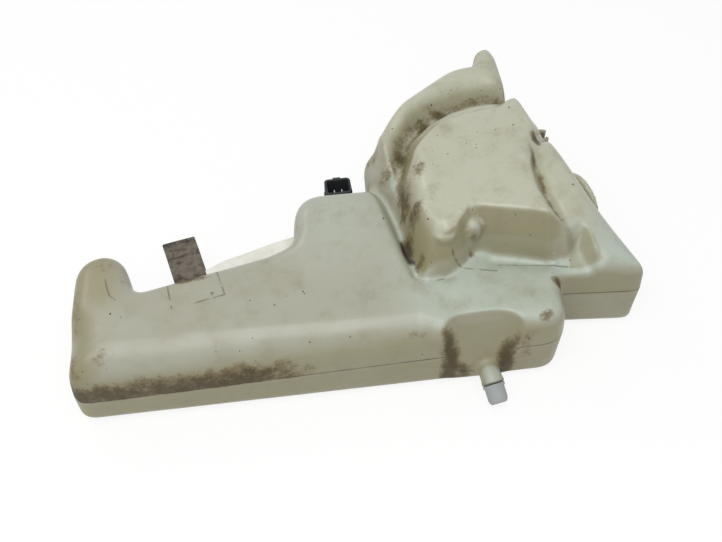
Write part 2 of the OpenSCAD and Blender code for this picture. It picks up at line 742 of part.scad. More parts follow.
// Copper coils that fill the slots and turn over both ends of the stack
module armature_windings() {
    coil_r = armature_r - pole_shoe - coil_room;
    color("#b5652e") on_pump_axis() {
        for (z = [core_z - coil_turn, core_z + core_length])
            translate([0, 0, z]) ring(coil_r, hub_r - 1.2, coil_turn);
        translate([0, 0, core_z]) linear_extrude(height = core_length) difference() {
            circle(r = coil_r);
            circle(r = hub_r + coil_room);
            for (i = [0:poles - 1])
                rotate(i * 360 / poles) translate([0, -pole_neck / 2 - coil_room])
                    square([armature_r, pole_neck + 2 * coil_room]);
        }
    }
}

// Copper segments round the shaft
module commutator() {
    color("#c07a3e") on_pump_axis() translate([0, 0, commutator_z]) difference() {
        cylinder(r = commutator_r, h = commutator_length);
        translate([0, 0, -cut]) cylinder(r = shaft_r + press_fit, h = commutator_length + 2 * cut);
        for (i = [0:poles - 1])
            rotate([0, 0, (i + 0.5) * 360 / poles])
                translate([commutator_r - 0.7, -0.25, 1]) cube([2, 0.5, commutator_length]);
    }
}

module motor_can() {
    color("#9aa0a6") on_pump_axis() translate([0, 0, can_z]) ring(can_r, can_r - can_wall, can_length);
}

// Pair of arc magnets inside the can
module magnets() {
    color("#3c3d42") on_pump_axis() for (side = [0, 180])
        rotate([0, 0, side - magnet_arc / 2]) translate([0, 0, can_z + 2])
            rotate_extrude(angle = magnet_arc) translate([magnet_r - magnet_wall, 0])
            square([magnet_wall, can_length - 4]);
}

// Card across the can that carries the brush holders
module brush_card() {
    color("#5a4a32") on_pump_axis() difference() {
        union() {
            translate([0, 0, card_z]) cylinder(r = card_r, h = card_thick);
            for (side = [0, 180])
                rotate([0, 0, side]) translate([commutator_r + 1.2, -brush_size[0] / 2 - 1, card_z])
                    cube([brush_holder, brush_size[0] + 2, card_thick + brush_size[1] + 2.5]);
        }
        translate([0, 0, card_z - cut]) cylinder(r = commutator_r + 0.6, h = 20);
        for (side = [0, 180])
            rotate([0, 0, side]) translate([0, -brush_size[0] / 2 - push_fit, brush_z - push_fit])
                cube([brush_reach, brush_size[0] + 2 * push_fit, brush_size[1] + 2 * push_fit]);
    }
}

// Carbon brushes, held against the commutator
module brushes() {
    color("#303236") on_pump_axis() for (side = [0, 180])
        rotate([0, 0, side]) translate([commutator_r + run_fit, -brush_size[0] / 2, brush_z])
            cube([brush_reach - commutator_r - run_fit, brush_size[0], brush_size[1]]);
}

// Flat blades that stand in the socket's floor
module terminals() {
    color("#c8b27a") on_pump_axis() for (side = [-1, 1])
        translate([side * blade_x - blade_size[0] / 2, -socket_floor - blade_reach, blade_z])
            cube([blade_size[0], blade_reach + socket_floor - blade_foot, blade_size[1]]);
}

// Black barrel over the motor, with the plug socket standing on its end
module motor_cover() {
    slot = blade_size + [2 * push_fit, 2 * push_fit];
    color("#17181a") on_pump_axis() difference() {
        union() {
            translate([0, 0, base_top]) cylinder(r = pump_r, h = pump_length);
            translate([0, 0, base_top]) cylinder(r = pump_r + 0.8, h = 3);
            socket_block(socket_width, socket_depth, 0);
            // Keying rib down each side and the latch nose on the far side
            for (side = [-1, 1])
                translate([side * (socket_width / 2) - 0.9, -socket_rise + 6, socket_z + socket_depth * 0.35])
                    cube([1.8, socket_rise - pump_r * 0.6 - 6, 3]);
            translate([-3.2, -socket_rise + 1.5, socket_z + socket_depth - cut])
                cube([6.4, 7, 2.6 + cut]);
            for (x = [-8, 8])
                translate([x - 0.8, -socket_rise + 5, socket_z + socket_depth - cut])
                    cube([1.6, socket_rise - pump_r - 3, 1.2 + cut]);
        }
        translate([0, 0, base_top - cut])
            cylinder(r = cover_r, h = pump_length - end_wall - bush_length + cut);
        translate([0, 0, bush_z - cut]) cylinder(r = bush_r + push_fit, h = bush_length + cut);
        socket_block(socket_width - 2 * socket_wall, socket_depth - 2 * socket_wall, socket_wall);
        for (side = [-1, 1])
            translate([side * blade_x - slot[0] / 2, -socket_floor - cut, blade_z - push_fit])
                cube([slot[0], socket_floor + cut - blade_foot, slot[1]]);
    }
}

// Rounded tower of the socket, or its inside where a floor is given
module socket_block(w, d, margin) {
    low = margin > 0 ? socket_floor : 0;
    high = socket_rise + (margin > 0 ? cut : 0);
    translate([0, -low, socket_z + socket_depth / 2]) rotate([90, 0, 0])
        linear_extrude(height = high - low) rounded_square(w, d, 3.5 - margin);
}
module rounded_square(w, d, r) {
    square([w - 2 * r, d], center = true);
    square([w, d - 2 * r], center = true);
    for (x = [-1, 1], y = [-1, 1])
        translate([x * (w / 2 - r), y * (d / 2 - r)]) circle(r = r);
}

tank();
hose_fitting();
pump_grommet();
inlet_strainer();
pump_base();
volute_plate();
shaft_seal();
lower_bush();
upper_bush();
impeller();
motor_shaft();
armature_core();
armature_windings();
commutator();
motor_can();
magnets();
brush_card();
brushes();
terminals();
motor_cover();
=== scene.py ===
"""Looks of the washer fluid reservoir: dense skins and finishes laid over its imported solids."""

import logging
import math
from dataclasses import dataclass, field
from enum import Enum

import bpy
import numpy as np
from bpy.types import Material, Mesh, Node, NodeSocket, NodeTree, Object
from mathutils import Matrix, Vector


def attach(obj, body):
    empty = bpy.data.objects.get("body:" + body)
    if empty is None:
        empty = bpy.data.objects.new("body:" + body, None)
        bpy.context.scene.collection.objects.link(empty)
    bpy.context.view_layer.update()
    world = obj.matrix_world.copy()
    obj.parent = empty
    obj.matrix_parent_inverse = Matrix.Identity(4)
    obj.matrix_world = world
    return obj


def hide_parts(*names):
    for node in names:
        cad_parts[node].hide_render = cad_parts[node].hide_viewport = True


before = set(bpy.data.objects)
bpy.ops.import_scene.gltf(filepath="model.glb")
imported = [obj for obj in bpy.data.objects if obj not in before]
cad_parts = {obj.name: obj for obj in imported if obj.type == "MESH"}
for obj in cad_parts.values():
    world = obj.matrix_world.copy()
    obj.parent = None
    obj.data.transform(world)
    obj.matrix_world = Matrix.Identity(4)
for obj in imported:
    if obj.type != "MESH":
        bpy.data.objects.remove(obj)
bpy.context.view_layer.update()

LOG = logging.getLogger("reservoir")
MM = 0.001
BODY = "tank_body"
Array = np.ndarray
Colour = tuple[float, float, float, float]
Line = tuple[tuple[float, ...], ...]


def srgb(red: int, green: int, blue: int) -> Colour:
    """Linear colour of a screen colour whose channels run from 0 to 255."""
    parts = [c / 255 for c in (red, green, blue)]
    line = [c / 12.92 if c <= 0.04045 else ((c + 0.055) / 1.055) ** 2.4 for c in parts]
    return (line[0], line[1], line[2], 1.0)


def ramp(t: Array) -> Array:
    """Rise from 0 to 1 as t goes from 0 to 1, level at both ends."""
    u = np.clip(t, 0.0, 1.0)
    return u * u * (3 - 2 * u)


def bell(t: Array) -> Array:
    """Bell curve, 1 at t = 0 and near 0 beyond 2."""
    return np.exp(-t * t)


def rising(v: Array, start: float, band: float) -> Array:
    """Smooth step from 0 at a start to 1 a band above it."""
    return ramp((v - start) / band)


def falling(v: Array, end: float, band: float) -> Array:
    """Smooth step from 1 a band below an end to 0 at the end."""
    return ramp((end - v) / band)


def higher(a: Array, b: Array, band: float) -> Array:
    """Larger of two heights, blended over a band."""
    return (a + b + np.sqrt((a - b) ** 2 + band * band)) / 2


def lower(a: Array, b: Array, band: float) -> Array:
    """Smaller of two heights, blended over a band."""
    return (a + b - np.sqrt((a - b) ** 2 + band * band)) / 2


def unit(v: Array) -> Array:
    """Vector of length 1 in the direction of v."""
    return v / np.linalg.norm(v)


def path_gap(x: Array, y: Array, path: Array | Line) -> Array:
    """Distance in plan from points to a line of straight runs.

    Args:
        x: Places along X.
        y: Places along Y, of the same shape.
        path: Corners of the line, one row each.

    Returns:
        The shortest distance of each point.
    """
    corners = np.asarray(path, float)
    gap = np.full(x.shape, np.inf)
    for a, b in zip(corners[:-1], corners[1:]):
        run = b - a
        t = np.clip(((x - a[0]) * run[0] + (y - a[1]) * run[1]) / (run @ run), 0, 1)
        gap = np.minimum(gap, np.hypot(x - a[0] - run[0] * t, y - a[1] - run[1] * t))
    return gap


def folds(x: Array, y: Array, lines: tuple) -> Array:
    """Depth of valleys, each given by its line, the width of its bell and its depth."""
    return sum(depth * bell(path_gap(x, y, line) / width) for line, width, depth in lines)


def ring_gap(x: Array, y: Array, ring: Array | Line) -> Array:
    """Distance in plan from points to a closed line."""
    return path_gap(x, y, (*ring, ring[0]))


def within(x: Array, y: Array, ring: Array | Line) -> Array:
    """True for each point that lies inside a closed line, by counting crossings."""
    inside = np.zeros(x.shape, bool)
    for a, b in zip(ring, (*ring[1:], ring[0])):
        if a[1] != b[1]:
            reach = (b[0] - a[0]) * (y - a[1]) / (b[1] - a[1]) + a[0]
            inside ^= ((a[1] > y) != (b[1] > y)) & (x < reach)
    return inside


def beyond(x: Array, y: Array, ring: Array | Line) -> Array:
    """Distance outside a closed line, zero within it."""
    return np.where(within(x, y, ring), 0.0, ring_gap(x, y, ring))


def rounded(corners: Array, steps: int) -> Array:
    """Closed line whose corners are quadratic curves between two set-back points.

    Args:
        corners: Rows of x, y and the set-back of the rounding.
        steps: Number of runs that each corner is drawn with.

    Returns:
        The points of the line, one row each.
    """
    t = np.linspace(0, 1, steps + 1)[:, None]
    runs = []
    for before, here, after in zip(np.roll(corners, 1, 0), corners, np.roll(corners, -1, 0)):
        p = here[:2]
        a = p + unit(before[:2] - p) * here[2]
        b = p + unit(after[:2] - p) * here[2]
        runs.append(a * (1 - t) ** 2 + p * 2 * t * (1 - t) + b * t * t)
    return np.concatenate(runs)


@dataclass(frozen=True)
class TankForm:
    """Shape of the tank in millimetres: a seam surface with a front above it and a back below."""

    arm_reach: float = 236.0
    arm_front: float = 80.0
    arm_end: float = 148.0
    block_front: float = 46.0
    right_reach: float = 224.0
    block_rear: float = 166.0
    block_left: float = 16.0
    peg_length: float = 21.0
    peg_width: float = 27.0
    bulge_rear: float = 58.0
    bulge_left: float = 52.0
    lobe_rear: float = 30.0
    lobe_width: float = 40.0
    face_height: float = 76.0
    bulge_height: float = 86.0
    ridge_height: float = 113.0
    plateau_height: float = 122.0
    seam_height: float = 34.0
    seam_along: float = 0.0385
    seam_slope: float = 0.23
    seam_step: float = 8.0
    seam_top: float = 62.0
    front_round: float = 32.0
    edge_round: float = 14.0
    back_round: float = 13.0
    front_rise: float = 10.0
    notch_rear: float = -9.0
    flank_round: float = 20.0
    least_rise: float = 3.0
    draft: float = 0.06
    dish_middle: float = 76.0
    dish_reach: tuple[float, float] = (30.0, 40.0)
    dish_floor: float = 12.0
    dish_slope: float = 3.6
    dish_flare: float = 60.0
    block_foot: float = 80.0
    block_slope: tuple[float, float] = (0.15, 0.27)
    plateau_fall: float = 1.3
    side_fall: tuple[float, float] = (2.7, 1.5)
    face_slope: float = 0.03
    bumps: Line = ((62, -25, 6, 8), (84, -13, 5.5, 13))
    block_top: Line = (
        (48, -27), (62, -26), (71, -20), (82, -4), (92, -5), (128, -15), (142, -20), (153, -18),
        (165, -14), (173, -11), (177, -14), (179, -22), (181, -43), (183, -90), (300, -90),
        (300, 300), (31, 300), (32, 80), (40, 45), (37, 20), (43, 2), (46, -15))
    plateau_top: Line = (
        (54, 64), (80, 87), (105, 93), (132, 96), (146, 108), (153, 62), (139, 32), (137, 8),
        (142, -22), (128, -17), (92, -7), (82, -6), (70, -17), (55, -16), (46, 2), (39, 20),
        (43, 43))
    groove: Line = (
        (146, 122), (127, 126), (109, 125), (87, 119), (67, 108), (51, 92), (42, 68), (37, 42),
        (37, 18))
    channel: Line = ((162, 74), (152, 58), (147, 42), (148, 27), (150, 12), (153, 0), (155, -8))
    crevice: Line = ((20, 66), (28, 42), (33, 16), (38, -8), (43, -27))
    trench_left: Line = ((43, -30), (60, -34))
    trench_right: Line = ((100, -26), (140, -34), (180, -40))

    def corners(self) -> Array:
        """Corners of the outline at the seam, each with the set-back of its rounding."""
        peg_x = self.block_left + 133
        peg_y = self.block_rear - 42
        notch_x = self.lobe_width - self.arm_reach + 18
        return np.array([
            [-self.arm_reach, -self.arm_front, 18],
            [self.arm_end, -self.arm_front - self.front_rise, 20],
            [self.arm_end + 3, -self.block_front, 6],
            [self.right_reach, -self.block_front - 8, 16],
            [self.right_reach - 28, 0, 20],
            [self.right_reach - 63, 95, 14],
            [peg_x + 4, peg_y - 7, 6],
            [peg_x - 1, peg_y, 4],
            [peg_x - 1, self.block_rear + self.peg_length * 0.5, 8],
            [peg_x - 7, self.block_rear + self.peg_length, 7],
            [peg_x - self.peg_width + 5, self.block_rear + self.peg_length - 3, 8],
            [peg_x - self.peg_width, self.block_rear, 7],
            [peg_x - self.peg_width - 18, self.block_rear, 16],
            [self.block_left + 26, self.block_rear - 42, 16],
            [self.block_left + 13, self.block_rear - 60, 8],
            [self.block_left + 1, self.block_rear - 70, 7],
            [self.block_left, self.bulge_rear - 1, 6],
            [6 - self.bulge_left, self.bulge_rear + 1, 24],
            [-self.bulge_left - 1, self.notch_rear + 23, 7],
            [notch_x, self.notch_rear, 8],
            [notch_x - 9, self.lobe_rear, 18],
            [13 - self.arm_reach, self.lobe_rear, 24]])

    def outline(self) -> Array:
        """Rounded outline at the seam."""
        return rounded(self.corners(), 9)

    def dish(self, x: Array, y: Array) -> Array:
        """Height of the dish round the spout: a slope that steepens to both sides."""
        left, right = self.dish_reach
        side = (x - self.dish_middle) / np.where(x < self.dish_middle, left, right)
        inwards = y + self.arm_front + self.front_rise
        return self.dish_floor + self.dish_slope * inwards + self.dish_flare * side ** 4

    def seam(self, x: Array, y: Array) -> Array:
        """Height of the moulding seam: a tilted plane, level at the back, cut by the dish."""
        along = self.seam_along * (x + self.arm_reach - 24)
        plane = self.seam_height + along + self.seam_slope * (y + self.arm_front)
        plane = plane - self.seam_step * rising(x, self.arm_end - 4, 12)
        return lower(lower(plane, np.full(x.shape, self.seam_top), 4), self.dish(x, y) - 1, 2)

    def block(self, x: Array, y: Array) -> Array:
        """Height of the tall block: slope, ridge and plateau less their valleys, plus two knobs."""
        along, inwards = self.block_slope
        slope = self.block_foot + inwards * (y + 47) + along * (200 - x)
        top = lower(slope, np.full(x.shape, self.ridge_height), 6)
        flat = self.plateau_height - self.plateau_fall * beyond(x, y, self.plateau_top)
        fall = self.side_fall[0] - self.side_fall[1] * rising(x, 146, 14)
        knobs = sum(h * bell(np.hypot(x - at_x, y - at_y) / w) for at_x, at_y, w, h in self.bumps)
        valleys = folds(x, y, ((self.groove, 10, 22), (self.channel, 6, 8)))
        return higher(top, flat, 1.5) - valleys - fall * beyond(x, y, self.block_top) + knobs

    def face(self, x: Array, y: Array) -> Array:
        """Height of the front before its edges are rounded and its dish is cut."""
        across = rising(x, -80, 40) * falling(x, 70, 30)
        rise = (self.bulge_height - self.face_height) * rising(y, -35, 60) * across
        slab = self.face_height + self.face_slope * (y + self.arm_front) + rise
        valleys = folds(x, y, (
            (self.crevice, 6, 15), (self.trench_left, 6, 5), (self.trench_right, 6, 4)))
        return np.where(x < -40, slab, higher(slab, self.block(x, y), 2) - valleys)

    def rounding(self, x: Array, y: Array) -> Array:
        """Radius of the face's edge: large along the arm's front and on the block's left flank."""
        front = falling(y, -20, 25) * falling(x, 55, 30)
        flank = falling(x, 60, 30) * rising(y, 62, 15)
        return self.edge_round + (self.front_round - self.edge_round) * front \
            + self.flank_round * flank

    def wall(self, gap: Array, height: Array, radius: Array) -> Array:
        """Rise of a wall at a gap inside the outline: drafted side, then a quarter round."""
        bend = np.minimum(radius, height * 0.9)
        straight = height - bend
        lean = np.maximum(straight * self.draft, 1e-6)
        s = gap - lean
        curve = straight + np.sqrt(np.maximum(bend * bend - (bend - s) ** 2, 0))
        return np.where(s < 0, straight * gap / lean, np.where(s < bend, curve, height))

    def front(self, x: Array, y: Array, gap: Array) -> Array:
        """Height of the finished front at points a gap inside the outline."""
        foot = self.seam(x, y)
        rise = np.maximum(self.least_rise, self.face(x, y) - foot)
        return lower(foot + self.wall(gap, rise, self.rounding(x, y)), self.dish(x, y), 1.2)

    def back(self, x: Array, y: Array, gap: Array) -> Array:
        """Height of the finished back at points a gap inside the outline."""
        foot = self.seam(x, y)
        radius = np.full(x.shape, self.back_round)
        return foot - self.wall(gap, np.maximum(self.least_rise, foot), radius)


FORM = TankForm()


@dataclass(frozen=True)
class Place:
    """A point and three directions: along a piece, across it and up from it."""

    origin: tuple[float, float, float]
    along: tuple[float, float, float]
    up: tuple[float, float, float]

    def axes(self) -> tuple[Array, Array, Array]:
        """Unit vectors along, across and up."""
        a = unit(np.array(self.along))
        c = unit(np.cross(np.array(self.up), a))
        return a, c, np.cross(a, c)

    def put(self, along: Array, across: Array, up: Array) -> Array:
        """Points at these distances from the origin, in the shared frame."""
        a, c, u = self.axes()
        return np.array(self.origin) + along[..., None] * a + across[..., None] * c \
            + up[..., None] * u


COLLAR = Place((180.789, 41.287, 50.0), (0.93835, 0.34571, 0.0), (0.0, 0.0, 1.0))
MOUTH = Place((89.2805, -100.8725, 15.3564), (0.15782, -0.85152, -0.5), (0.0, 0.0, 1.0))
PUMP = Place((-6.5, 23.0, 30.0), (0.0, 1.0, 0.0), (0.0, 0.0, 1.0))


def revolve(place: Place, profile: Line | list, sides: int) -> Array:
    """Rings of a profile turned about a place's axis.

    Args:
        place: Axis of the turning.
        profile: Pairs of distance along the axis and radius.
        sides: Number of points round each ring.

    Returns:
        The rings, shaped (rings, sides, 3).
    """
    a = np.array([p[0] for p in profile])[:, None]
    r = np.maximum(np.array([p[1] for p in profile]), 0.02)[:, None]
    turn = np.linspace(0, 2 * math.pi, sides, endpoint=False)[None, :]
    return place.put(a + 0 * turn, r * np.cos(turn), r * np.sin(turn))


def slab_ring(width: Array, thick: float, bevel: float, sides: int) -> tuple[Array, Array]:
    """Section of a flat bar with rounded edges: a superellipse of the width and thickness.

    Args:
        width: Half width at each place along the bar, shaped (n, 1).
        thick: Half thickness.
        bevel: Exponent of the superellipse; smaller is squarer.
        sides: Number of points round the section.

    Returns:
        Distances across and up, shaped (n, sides).
    """
    turn = np.linspace(0, 2 * math.pi, sides, endpoint=False)[None, :]
    c, s = np.cos(turn), np.sin(turn)
    across = width * np.sign(c) * np.abs(c) ** bevel
    up = thick * np.sign(s) * np.abs(s) ** bevel + 0 * width
    return across, up


def skin(name: str, lofts: list[Array], even: bool = True) -> Object:
    """Object of closed skins, each through equal rings of points with capped ends.

    Args:
        name: Name of the object and its mesh.
        lofts: Arrays shaped (rings, points, 3) in millimetres.
        even: Whether its faces are shaded smooth.

    Returns:
        The object in metres, with its faces outwards.
    """
    points: list[Array] = []
    faces: list[list[int]] = []
    start = 0
    for rings in lofts:
        n, m = rings.shape[:2]
        i = np.arange(n - 1)[:, None] * m
        j = np.arange(m)[None, :]
        a, b = i + j, i + (j + 1) % m
        quads = np.stack([a, b, b + m, a + m], -1).reshape(-1, 4)
        flat = rings.reshape(-1, 3)
        p, q, r, s = (flat[quads[:, k]] for k in range(4))
        size = np.einsum("ij,ij->i", p, np.cross(q, r) + np.cross(r, s)).sum()
        caps = [list(range(m))[::-1], list(range((n - 1) * m, n * m))]
        if size < 0:
            quads = quads[:, ::-1]
            caps = [c[::-1] for c in caps]
        points.append(flat * MM)
        faces += (quads + start).tolist() + [[k + start for k in c] for c in caps]
        start += n * m
    mesh = bpy.data.meshes.new(name)
    mesh.from_pydata(np.concatenate(points).tolist(), [], faces)
    mesh.validate()
    smooth(mesh, even)
    return add(name, mesh)


def add(name: str, mesh: Mesh) -> Object:
    """Object of a mesh, linked to the scene."""
    obj = bpy.data.objects.new(name, mesh)
    bpy.context.scene.collection.objects.link(obj)
    return obj


def finished(obj: Object) -> Mesh:
    """Mesh of an object with its modifiers applied."""
    graph = bpy.context.evaluated_depsgraph_get()
    return bpy.data.meshes.new_from_object(obj.evaluated_get(graph))


def smooth(mesh: Mesh, on: bool) -> None:
    """Set every face of a mesh to smooth or flat shading."""
    mesh.polygons.foreach_set("use_smooth", np.full(len(mesh.polygons), on))
    mesh.update()


def places(mesh: Mesh) -> Array:
    """Vertices of a mesh in millimetres, one row each."""
    co = np.zeros(len(mesh.vertices) * 3, np.float32)
    mesh.vertices.foreach_get("co", co)
    return co.reshape(-1, 3).astype(float) / MM


def normals(mesh: Mesh) -> Array:
    """Normals of a mesh's vertices, one row each."""
    flat = np.zeros(len(mesh.vertices) * 3, np.float32)
    mesh.vertex_normals.foreach_get("vector", flat)
    return flat.reshape(-1, 3)


class Mark(Enum):
    """Attributes that the tank's skin carries for its finish."""

    # Dirt, also painted shade in hollows, below the seam and in the crevice.
    SOIL_AND_SHADE = "soil"
    CREAM = "cream"
    # Olive tint, also painted shade on steep walls, in hollows and below the seam.
    OLIVE_AND_SHADE = "olive_and_shade"
    SEAM = "seam_gap"
    EDGE = "edge_gap"
    # Black: painted shadow in the slit, and the dark joint at the spout.
    DARK = "dark"
    # Cool tint, also painted light on level faces.
    COOL_AND_LIT = "cool_and_lit"


def store(mesh: Mesh, mark: Mark, values: Array) -> None:
    """Keep one number per vertex as an attribute that materials read."""
    layer = mesh.attributes.new(mark.value, "FLOAT", "POINT")
    layer.data.foreach_set("value", values.astype(np.float32))


Value = NodeSocket | float | tuple


class Graph:
    """Adds and links the nodes of one shader tree."""

    def __init__(self, tree: NodeTree) -> None:
        """Work on a tree that is empty or already begun."""
        self.tree = tree

    def node(self, kind: str, **settings: object) -> Node:
        """New node of a kind, with its settings."""
        made = self.tree.nodes.new(kind)
        for key, value in settings.items():
            setattr(made, key, value)
        return made

    def feed(self, socket: NodeSocket, value: Value) -> None:
        """Link a socket to another, or set its own value."""
        if isinstance(value, NodeSocket):
            self.tree.links.new(value, socket)
        else:
            socket.default_value = value

    def fill(self, node: Node, values: dict[str, Value]) -> None:
        """Feed a node's inputs by their names."""
        for name, value in values.items():
            self.feed(node.inputs[name], value)

    def math(self, kind: str, a: Value, b: Value = 0.0, clamp: bool = False) -> NodeSocket:
        """Result of a sum on two numbers."""
        made = self.node("ShaderNodeMath", operation=kind, use_clamp=clamp)
        self.feed(made.inputs[0], a)
        self.feed(made.inputs[1], b)
        return made.outputs[0]

    def times(self, a: Value, b: Value) -> NodeSocket:
        """Product of two numbers."""
        return self.math("MULTIPLY", a, b)

    def vector(self, kind: str, a: Value, b: Value = (0, 0, 0)) -> NodeSocket:
        """Result of a sum on two vectors: a vector, or a number where the sum gives one."""
        made = self.node("ShaderNodeVectorMath", operation=kind)
        self.feed(made.inputs[0], a)
        self.feed(made.inputs[1], b)
        return made.outputs["Value" if kind in ("DOT_PRODUCT", "LENGTH") else "Vector"]

    def mix(self, share: Value, a: Value, b: Value) -> NodeSocket:
        """Colour between a and b by a share."""
        made = self.node("ShaderNodeMix", data_type="RGBA", clamp_factor=True)
        self.feed(made.inputs["Factor"], share)
        self.feed(made.inputs[6], a)
        self.feed(made.inputs[7], b)
        return made.outputs[2]

    def step(self, value: Value, low: float, high: float,
             out: tuple[float, float] = (0.0, 1.0)) -> NodeSocket:
        """Smooth step of a value between two bounds."""
        made = self.node("ShaderNodeMapRange", interpolation_type="SMOOTHSTEP")
        self.fill(made, {"Value": value, "From Min": low, "From Max": high,
                         "To Min": out[0], "To Max": out[1]})
        return made.outputs[0]

    def noise(self, place: Value, scale: Value, detail: float = 4.0,
              rough: float = 0.55) -> NodeSocket:
        """Noise value at a place."""
        made = self.node("ShaderNodeTexNoise")
        self.fill(made, {"Vector": place, "Scale": scale, "Detail": detail, "Roughness": rough})
        return made.outputs[0]

    def object_place(self) -> NodeSocket:
        """Object coordinates."""
        return self.node("ShaderNodeTexCoord").outputs["Object"]

    def attribute(self, mark: Mark) -> NodeSocket:
        """Number that the skin carries."""
        return self.node("ShaderNodeAttribute", attribute_name=mark.value).outputs["Fac"]

    def group(self, tree: NodeTree, **inputs: Value) -> NodeSocket:
        """First output of a shared group with these inputs."""
        made = self.node("ShaderNodeGroup", node_tree=tree)
        for name, value in inputs.items():
            self.feed(made.inputs[name.replace("_", " ").title()], value)
        return made.outputs[0]


Shared = tuple[NodeTree, Graph, dict[str, NodeSocket], NodeSocket]


def shared(name: str, inputs: str, output: str) -> Shared:
    """Empty shared group with named sockets.

    Args:
        name: Name of the group.
        inputs: Names of the inputs; Vector, Start and End are vectors, the others numbers.
        output: Name of the one output, a number.

    Returns:
        The group, a graph on it, the values of its inputs and the socket for its output.
    """
    tree = bpy.data.node_groups.new(name, "ShaderNodeTree")
    for key in inputs.split():
        kind = "NodeSocketVector" if key in ("Vector", "Start", "End") else "NodeSocketFloat"
        tree.interface.new_socket(name=key, in_out="INPUT", socket_type=kind)
    tree.interface.new_socket(name=output, in_out="OUTPUT", socket_type="NodeSocketFloat")
    graph = Graph(tree)
    given = {socket.name: socket for socket in graph.node("NodeGroupInput").outputs}
    return tree, graph, given, graph.node("NodeGroupOutput").inputs[0]


class Effects:
    """Shared effects that several finishes use."""

    def __init__(self) -> None:
        """Build the groups once."""
        self.soiling = self.make_soiling()
        self.specks = self.make_specks()
        self.scuffs = self.make_scuffs()
        self.grain = self.make_grain()
        self.line = self.make_line()

    @staticmethod
    def make_soiling() -> NodeTree:
        """Dirt that breaks up into patches: an amount plus noise, stepped to a mask."""
        tree, g, ins, out = shared("Soiling", "Vector Amount Scale", "Mask")
        coarse = g.noise(ins["Vector"], ins["Scale"], 6.0, 0.65)
        fine = g.noise(ins["Vector"], g.times(ins["Scale"], 5.0), 3.0, 0.6)
        both = g.math("ADD", g.times(coarse, 1.1), g.times(fine, 0.5))
        level = g.math("ADD", both, g.times(ins["Amount"], 0.95))
        mask = g.times(g.step(level, 0.95, 1.75), g.step(ins["Amount"], 0.02, 0.4))
        g.feed(out, mask)
        return tree

    @staticmethod
    def make_specks() -> NodeTree:
        """Small dark dots: a few cells of a cell pattern, each with a dot at its heart."""
        tree, g, ins, out = shared("Specks", "Vector Scale Share", "Mask")
        cell = g.node("ShaderNodeTexVoronoi", feature="F1")
        g.fill(cell, {"Vector": ins["Vector"], "Scale": ins["Scale"]})
        parts = g.node("ShaderNodeSeparateColor")
        g.feed(parts.inputs[0], cell.outputs["Color"])
        size = g.times(parts.outputs[1], 0.085)
        dot = g.math("LESS_THAN", cell.outputs["Distance"], size)
        few = g.math("LESS_THAN", parts.outputs[0], ins["Share"])
        g.feed(out, g.times(dot, few))
        return tree

    @staticmethod
    def make_scuffs() -> NodeTree:
        """Fine scratches: thin bands of stretched noise, here and there."""
        tree, g, ins, out = shared("Scuffs", "Vector Scale", "Mask")
        drawn = g.vector("MULTIPLY", ins["Vector"], (1.0, 9.0, 4.0))
        lines = g.noise(drawn, ins["Scale"], 2.0, 0.5)
        band = g.math("ABSOLUTE", g.math("SUBTRACT", lines, 0.5))
        where = g.noise(ins["Vector"], g.times(ins["Scale"], 0.6), 2.0)
        thin = g.step(band, 0.0, 0.012, (1.0, 0.0))
        g.feed(out, g.times(thin, g.step(where, 0.52, 0.64)))
        return tree

    @staticmethod
    def make_grain() -> NodeTree:
        """Unevenness of a blown skin: slow waves plus a fine grain."""
        tree, g, ins, out = shared("Moulded grain", "Vector Scale", "Height")
        slow = g.noise(ins["Vector"], ins["Scale"], 2.0)
        fine = g.noise(ins["Vector"], g.times(ins["Scale"], 22.0), 3.0)
        g.feed(out, g.math("ADD", slow, g.times(fine, 0.06)))
        return tree

    @staticmethod
    def make_line() -> NodeTree:
        """Line in plan between two points: 1 within a width of the nearest point between them."""
        tree, g, ins, out = shared("Plan line", "Vector Start End Width", "Mask")
        flat = (1.0, 1.0, 0.0)
        point = g.vector("MULTIPLY", g.vector("SUBTRACT", ins["Vector"], ins["Start"]), flat)
        run = g.vector("MULTIPLY", g.vector("SUBTRACT", ins["End"], ins["Start"]), flat)
        share = g.math("DIVIDE", g.vector("DOT_PRODUCT", point, run),
                       g.vector("DOT_PRODUCT", run, run), clamp=True)
        near = g.node("ShaderNodeVectorMath", operation="SCALE")
        g.fill(near, {"Vector": run, "Scale": share})
        gap = g.vector("LENGTH", g.vector("SUBTRACT", point, near.outputs[0]))
        g.feed(out, g.step(g.math("DIVIDE", gap, ins["Width"]), 0.5, 1.0, (1.0, 0.0)))
        return tree


EFFECTS = Effects()


def new_material(name: str) -> tuple[Material, Graph, Node]:
    """Material with a Principled shader, a graph on it, and that shader."""
    material = bpy.data.materials.new(name)
    material.use_nodes = True
    return material, Graph(material.node_tree), material.node_tree.nodes["Principled BSDF"]


def bump(g: Graph, shader: Node, height: Value, strength: float, depth: float) -> None:
    """Lay a height on a shader's normal."""
    made = g.node("ShaderNodeBump")
    g.fill(made, {"Strength": strength, "Distance": depth, "Height": height})
    g.feed(shader.inputs["Normal"], made.outputs[0])


def plan_lines(g: Graph, place: Value, lines: tuple, width: float) -> Value:
    """Mask of thin broken lines drawn in plan, each given by its two ends in millimetres."""
    mask: Value = 0.0
    for x0, y0, x1, y1 in lines:
        ends = {"start": (x0 * MM, y0 * MM, 0), "end": (x1 * MM, y1 * MM, 0)}
        mask = g.math("MAXIMUM", mask, g.group(EFFECTS.line, vector=place, width=width, **ends))
    return g.times(mask, g.step(g.noise(place, 130.0, 2.0), 0.3, 0.55))


